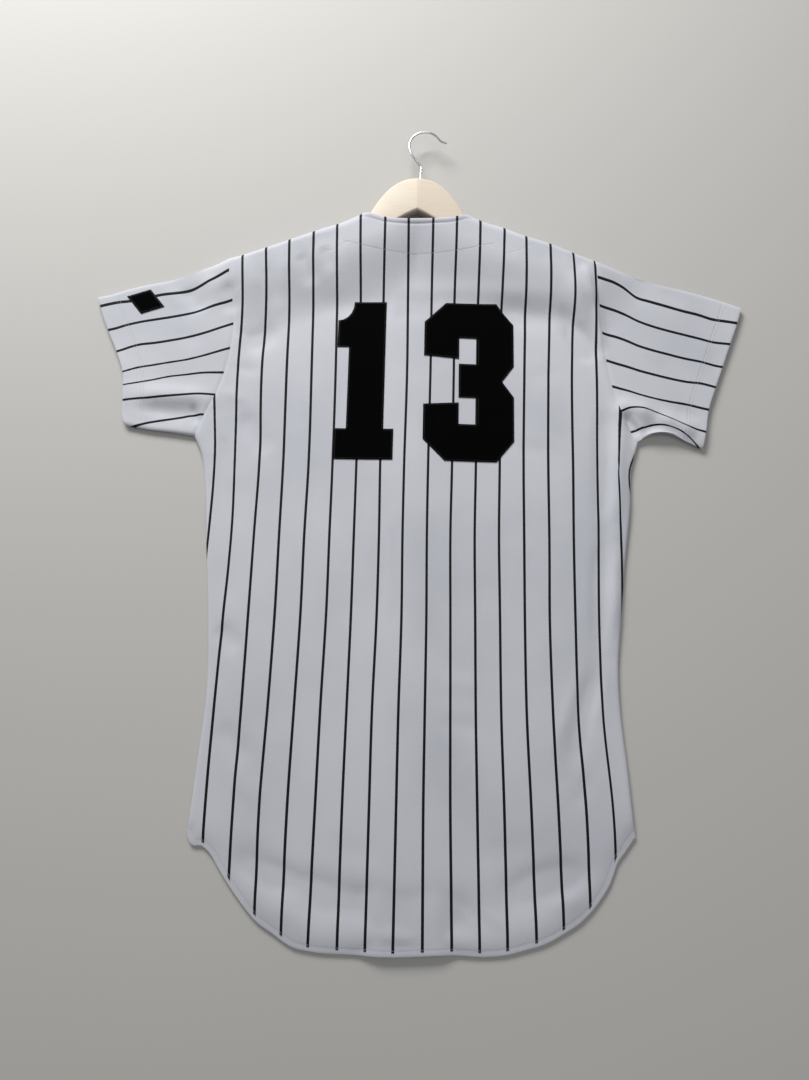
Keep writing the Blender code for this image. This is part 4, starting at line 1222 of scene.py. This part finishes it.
# %% Stitches as arrays
def spaced(line, spacing, closed=False):
    """Points at even spacing along a polyline, in plan."""
    line = np.asarray(line)[:, :2]
    if closed:
        line = np.vstack([line, line[:1]])
    run = np.concatenate([[0], np.cumsum(np.linalg.norm(np.diff(line, axis=0), axis=1))])
    at = np.arange(spacing / 2, run[-1], spacing)
    return np.stack([np.interp(at, run, line[:, 0]), np.interp(at, run, line[:, 1])], -1)


def offset(line, away):
    """A polyline moved sideways in plan, to the left of its way."""
    line = np.asarray(line)[:, :2]
    way = unit(np.gradient(line, axis=0))
    return line + away * np.stack([-way[:, 1], way[:, 0]], -1)


def on_top(plan, lift=0.0):
    """Points of the upper layer's outer face over plan points."""
    points = upper_sheet(plan[None])[0][0]
    points[:, 2] += lift
    return points


def rods(starts, ends, radius, up=(0, 0, 1)):
    """Rods between pairs of points: four rings of four, narrow at the ends."""
    way = unit(ends - starts)
    side = unit(np.cross(way, np.broadcast_to(up, way.shape)))
    top = np.cross(side, way)
    rings = []
    for share, size in ((0.0, 0.35), (0.22, 1.0), (0.78, 1.0), (1.0, 0.35)):
        centre = starts + (ends - starts) * share
        for turn in range(4):
            a = math.pi / 4 + turn * math.pi / 2
            rings.append(centre + radius * size * (math.cos(a) * side + math.sin(a) * top))
    points = np.stack(rings, 1)
    one = np.vstack([grid_quads(4, 4, 0, True), [[3, 2, 1, 0]], [[12, 13, 14, 15]]])
    faces = (one[None] + 16 * np.arange(len(points))[:, None, None]).reshape(-1, 4)
    return points.reshape(-1, 3), faces


def joined(parts):
    """Several point and face arrays as one."""
    points, faces, start = [], [], 0
    for part_points, part_faces in parts:
        points.append(part_points)
        faces.append(part_faces + start)
        start += len(part_points)
    return np.vstack(points), np.vstack(faces)


STITCH = 0.0026
STITCH_SHARE = 0.82       # thread that shows, the rest being the gap
THREAD = 0.00018          # radius


def running_line(plan_line, lift=0.00005):
    """Stitches end to end on the upper layer, with a short gap between them."""
    places = on_top(spaced(plan_line, STITCH), lift)
    step = (places[1:] - places[:-1]) * STITCH_SHARE
    return rods(places[:-1], places[:-1] + step, THREAD)


ZIGZAG = 0.0010
ZIGZAG_REACH = 0.0024
ZIGZAG_OUT = 0.0003


def zigzag_line(outline):
    """Threads across the felt's edge: each runs from inside the edge to just outside."""
    line = spaced(anticlockwise(outline), ZIGZAG / 2, closed=True)
    way = unit(np.roll(line, -1, 0) - np.roll(line, 1, 0))
    inward_way = np.stack([-way[:, 1], way[:, 0]], -1)
    count = len(line) // 2 * 2
    inner = on_top(line[0:count:2] + inward_way[0:count:2] * ZIGZAG_REACH, GAP / 2 + FELT * 0.86)
    outer = on_top(line[1:count:2] - inward_way[1:count:2] * ZIGZAG_OUT, GAP / 2 + FELT * 0.35)
    return joined([rods(inner, outer, THREAD), rods(outer[:-1], inner[1:], THREAD)])


cuff_rows = [running_line(offset(polyline(table), side * depth)[2:-2])
             for table, side in ((LEFT_CUFF, -1), (RIGHT_CUFF, 1))
             for depth in (CUFF_TURN - CUFF_SEAM_HALF, CUFF_TURN + CUFF_SEAM_HALF)]
hem_row = running_line(offset(polyline(HEM, 200, 0), HEM_TURN)[4:-4])
facing_x = FACING_X + np.linspace(-0.094, 0.094, 120)
facing_row = running_line(np.stack([facing_x, facing_edge(facing_x)], -1))
lip_row = running_line(offset(polyline(BACK_NECK, 40, 0), -(LIP + LIP_CREASE))[2:-2], 0.0)
grey_sewing = make_piece("sewing_grey", *joined([hem_row, facing_row, lip_row, *cuff_rows]),
                         GREY_THREAD, "knit")
zigzags = [zigzag_line(outline) for outline in (figure_one(), figure_three(), diamond())]
black_sewing = make_piece("sewing_black", *joined(zigzags), BLACK_THREAD, "felt")

# %% [markdown]
# ## The wooden hanger
#
# A hanger of this sort is cut from a board about 12 mm thick, its edges rounded over. Its
# sections run from tip to tip: each is a rectangle with round corners, and they follow the head's
# curve and the hollow beneath it. A hole takes the hook's stem.

# %% Hanger
def hanger_grid():
    """Sections x by points round: each point is a corner's centre plus its arc's radius."""
    tip = TIP_RADIUS * (1 - np.sin(np.radians(np.linspace(90, 0, 10))))
    half = np.concatenate([HANGER_HALF - tip,
                           np.linspace(HANGER_HALF - TIP_RADIUS, HEAD_HALF, 34)[1:],
                           HEAD_HALF * np.linspace(1, 0, 30)[1:-1]])
    places = HANGER_X + np.concatenate([-half, [0.0], half[::-1]])
    low, top = wood_section(places)
    middle = WALL + GAP + HANGER_WOOD / 2 + rise_at(places)
    edge = np.minimum(WOOD_EDGE, 0.45 * (top - low))
    rings = []
    for at_top, up, first in ((1, 1, 0), (0, 1, 90), (0, -1, 180), (1, -1, 270)):
        for angle in np.radians(np.linspace(first, first + 90, 6)):
            way = 1 if at_top else -1
            y = (top if at_top else low) - way * edge + edge * np.cos(angle)
            z = middle + up * (HANGER_WOOD / 2 - edge) + edge * np.sin(angle)
            rings.append(np.stack([places, y, z], -1))
    return np.stack(rings, 1)


stem_height = WALL + GAP + HANGER_WOOD / 2 + CENTRE_RISE * 0.97
sections = hanger_grid()
wood = make_piece("hanger_birch", sections.reshape(-1, 3), tube_faces(*sections.shape[:2]),
                  BIRCH, "wood")
outward(wood)
bore = [(HOOK_X + STEM_BORE * math.cos(a), stem_height + STEM_BORE * math.sin(a))
        for a in np.linspace(0, 2 * math.pi, 25)[:-1]]
bore_ends = [[(x, y, z) for x, z in bore] for y in (STEM_LOW - GAP, STEM_LOW + 0.03)]
keep_cut(wood, *bore_ends, "DIFFERENCE")
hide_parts("hanger_wood")

# %% [markdown]
# ## The wire hook
#
# The hook is one length of plated wire: a straight stem, a bend to one side and an open loop.
# A round profile is carried along its line. Both ends close in a half ball.

# %% Hook
def hook_route():
    """The wire's line in plan: the stem, the bend, the loop and the flare of its tip."""
    cx, cy, radius = HOOK_LOOP
    route = [(HOOK_X, STEM_LOW), (HOOK_X, 0.903), (HOOK_X, 0.9180), (HOOK_X - 0.0007, 0.9204),
             (HOOK_X - 0.0024, 0.9227), (HOOK_X - 0.0060, 0.9277), (HOOK_X - 0.0095, 0.9331),
             (HOOK_X - 0.0122, 0.9379)]
    turns = np.radians(np.arange(202, 33, -12))
    route += list(zip(cx + radius * np.cos(turns), cy + radius * np.sin(turns)))
    return np.array(route + [(cx + out, cy + up) for out, up in (
        (0.0185, 0.0088), (0.0217, 0.0064), (0.0262, 0.0047))])


def smoothed(points, steps=7):
    """A Catmull-Rom curve: between two points it is a cubic that also heeds their neighbours."""
    held = np.vstack([2 * points[:1] - points[1:2], points, 2 * points[-1:] - points[-2:-1]])
    a, b, c, d = held[:-3, None], held[1:-2, None], held[2:-1, None], held[3:, None]
    t = np.linspace(0, 1, steps, endpoint=False)[None, :, None]
    run = 0.5 * (2 * b + (c - a) * t + (2 * a - 5 * b + 4 * c - d) * t ** 2
                 + (3 * b - 3 * c + d - a) * t ** 3)
    return np.vstack([run.reshape(-1, 2), points[-1:]])


def wire_along(line, radius, round_points=20):
    """A round tube of rings along a flat line, its ends closed by quarter circles of rings."""
    line = np.column_stack([line, np.full(len(line), stem_height)])
    way = unit(np.gradient(line, axis=0))
    cap = np.radians(np.linspace(90, 15, 6))
    lead = line[0] - way[0] * (radius * np.sin(cap))[:, None]
    tail = line[-1] + way[-1] * (radius * np.sin(cap[::-1]))[:, None]
    centres = np.vstack([lead, line, tail])
    ways = np.vstack([np.repeat(way[:1], 6, 0), way, np.repeat(way[-1:], 6, 0)])
    sizes = radius * np.concatenate([np.cos(cap), np.ones(len(line)), np.cos(cap[::-1])])
    sizes = np.maximum(sizes, 0.02 * radius)
    side = unit(np.cross(ways, (0, 0, 1)))
    turns = np.linspace(0, 2 * np.pi, round_points, endpoint=False)
    rings = (centres[:, None] + sizes[:, None, None]
             * (np.cos(turns)[None, :, None] * side[:, None]
                + np.sin(turns)[None, :, None] * np.array([0, 0, 1.0])))
    return rings.reshape(-1, 3), tube_faces(len(rings), round_points)


hook = make_piece("hanger_wire", *wire_along(smoothed(hook_route()), WIRE), STEEL, "hook")
outward(hook)
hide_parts("hanger_hook")

# %% [markdown]
# ## The buttons
#
# Six four-hole buttons close the front. They lie under the cloth here, face down, so they show
# only from below. A button is a turned disc, its face dished inside a raised rim, and the thread
# crosses between its holes.

# %% Buttons
HOLE_PLACE = 0.001207       # of each hole, across and along from the middle
HOLE = 0.0008
HOLE_DEPTH = 0.0011
CORNERS = ((1, 1), (-1, 1), (-1, -1), (1, -1))


def button_grid(rings=34, turns=40):
    """Height over radius and angle: a rounded edge, a dished face, and four sunken holes."""
    out = (0, 0.30, 0.55, 0.66, 0.74, 0.84, 0.93, 0.98, 1.0, 1.0, 0.98, 0.93, 0)
    up = (0.26, 0.26, 0.24, 0.16, 0.03, 0.0, 0.04, 0.14, 0.30, 0.70, 0.88, 1.0, 1.0)
    run = np.concatenate([[0], np.cumsum(np.hypot(np.diff(out), 0.4 * np.diff(up)))])
    at = np.linspace(0, run[-1], rings)
    radius = np.interp(at, run, out) * BUTTON_RADIUS
    height = np.interp(at, run, up) * BUTTON_HEIGHT
    angle = np.linspace(0, 2 * np.pi, turns, endpoint=False)
    x, y = radius[:, None] * np.cos(angle), radius[:, None] * np.sin(angle)
    z = np.repeat(height[:, None], turns, 1)
    below = at[:, None] < run[4]
    for sx, sy in CORNERS:
        away = np.hypot(x - sx * HOLE_PLACE, y - sy * HOLE_PLACE)
        z = z + below * HOLE_DEPTH * np.exp(-(away / HOLE) ** 4)
    return np.stack([x, y, z], -1)


disc = button_grid()
disc[0] = disc[0].mean(0)
disc_faces = grid_quads(*disc.shape[:2], 0, True)[:, ::-1]
for number, y in enumerate(BUTTON_ROWS, 1):
    button = make_piece(f"button_{number}_turned", disc.reshape(-1, 3) + (0, y, 0), disc_faces,
                        RESIN, "button", sharp=40)
    merged = bmesh.new()
    merged.from_mesh(button.data)
    bmesh.ops.remove_doubles(merged, verts=merged.verts, dist=1e-6)
    merged.to_mesh(button.data)
    merged.free()
    outward(button)
    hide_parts(f"button_{number}")

knots = np.array([(sx * HOLE_PLACE, sy * HOLE_PLACE, 0.0006) for sx, sy in CORNERS])
starts, ends = [np.vstack([knots[pair] + (0, y, 0) for y in BUTTON_ROWS])
                for pair in ([2, 3], [0, 1])]
make_piece("sewing_buttons", *rods(starts, ends, 0.00032), GREY_THREAD, "knit")

# %% [markdown]
# ## The cut of the cloth
#
# Each piece of cloth states the flat size that it is cut to. A sleeve is one piece round the
# whole arm, so its cut is twice its flattened width.

# %% Flat sizes
def cut_area(piece):
    """Half the area of the closed wall: one face of the cloth."""
    area = sum(face.area for face in piece.data.polygons) / 2
    print(piece.name, "has one face of", round(area, 4), "m2")
    return area


cut_area(back)
cut_area(front_left)
cut_area(front_right)
cut_area(sleeve_left)
cut_area(sleeve_right)

# %% [markdown]
# ## Floor, light and camera
#
# The jersey lies on a plain pale floor. A large soft light stands beyond the hanger, so that the
# folds across the cloth shade towards the hem, and a weaker one overhead fills the hollows.

# %% Floor
def floor_finish():
    finish = Finish("pale floor", Roughness=0.75)
    place = finish.place()
    cloud = finish.noise(place, 1.3)
    grain = finish.noise(place, 240.0, 3.0)
    finish.wear(Base_Color=finish.mix(cloud, (0.470, 0.462, 0.440), (0.500, 0.492, 0.470)),
                Normal=finish.bump(grain, 0.0004, 0.10))
    return finish.material


FLOOR_HALF, FLOOR_LOW = 4, -0.0002
corners = [(FLOOR_HALF * sx, FLOOR_HALF * sy, FLOOR_LOW)
           for sx, sy in ((-1, -1), (1, -1), (1, 1), (-1, 1))]
floor = make_object("floor", np.array(corners) - HOME, [(0, 1, 2, 3)])
floor.data.materials.append(floor_finish())

# %% Lights
def soft_light(name, place, aim, size, power, colour):
    light = bpy.data.lights.new(name, "AREA")
    light.shape = "RECTANGLE"
    light.size, light.size_y = size
    light.energy = power
    light.color = colour
    lamp = bpy.data.objects.new(name, light)
    lamp.location = place
    way = Vector(aim) - Vector(place)
    lamp.rotation_euler = way.to_track_quat("-Z", "Y").to_euler()
    bpy.context.collection.objects.link(lamp)


soft_light("key", (-0.75, 1.85, 1.15), (0, 0.05, 0), (1.3, 0.8), 62, (1.0, 0.99, 0.975))
soft_light("overhead", (0.3, -0.1, 2.2), (0, 0, 0), (1.6, 1.6), 9, (0.985, 0.99, 1.0))
world = bpy.data.worlds.new("pale room")
world.use_nodes = True
background = world.node_tree.nodes["Background"].inputs
background["Color"].default_value = (0.90, 0.92, 0.95, 1)
background["Strength"].default_value = 0.22
bpy.context.scene.world = world
bpy.context.scene.view_settings.view_transform = "Standard"

# %% Camera
ROLL, TILT = math.radians(1.28), math.radians(12.2)
EYE = (-0.00691, -0.24094, 0.916)
right = Vector((math.cos(ROLL), math.sin(ROLL), 0))
ahead = Vector((-math.sin(ROLL) * math.sin(TILT), math.cos(ROLL) * math.sin(TILT),
                -math.cos(TILT)))
up = right.cross(ahead)
lens = bpy.data.cameras.new("photograph")
lens.sensor_fit = "VERTICAL"
lens.sensor_height = 36
lens.lens = 27.03
camera = bpy.data.objects.new("photograph", lens)
camera.matrix_world = Matrix((*zip(right, up, -ahead, EYE), (0, 0, 0, 1)))
bpy.context.collection.objects.link(camera)
bpy.context.scene.camera = camera
print("camera height:", round(camera.matrix_world.translation.z, 3))
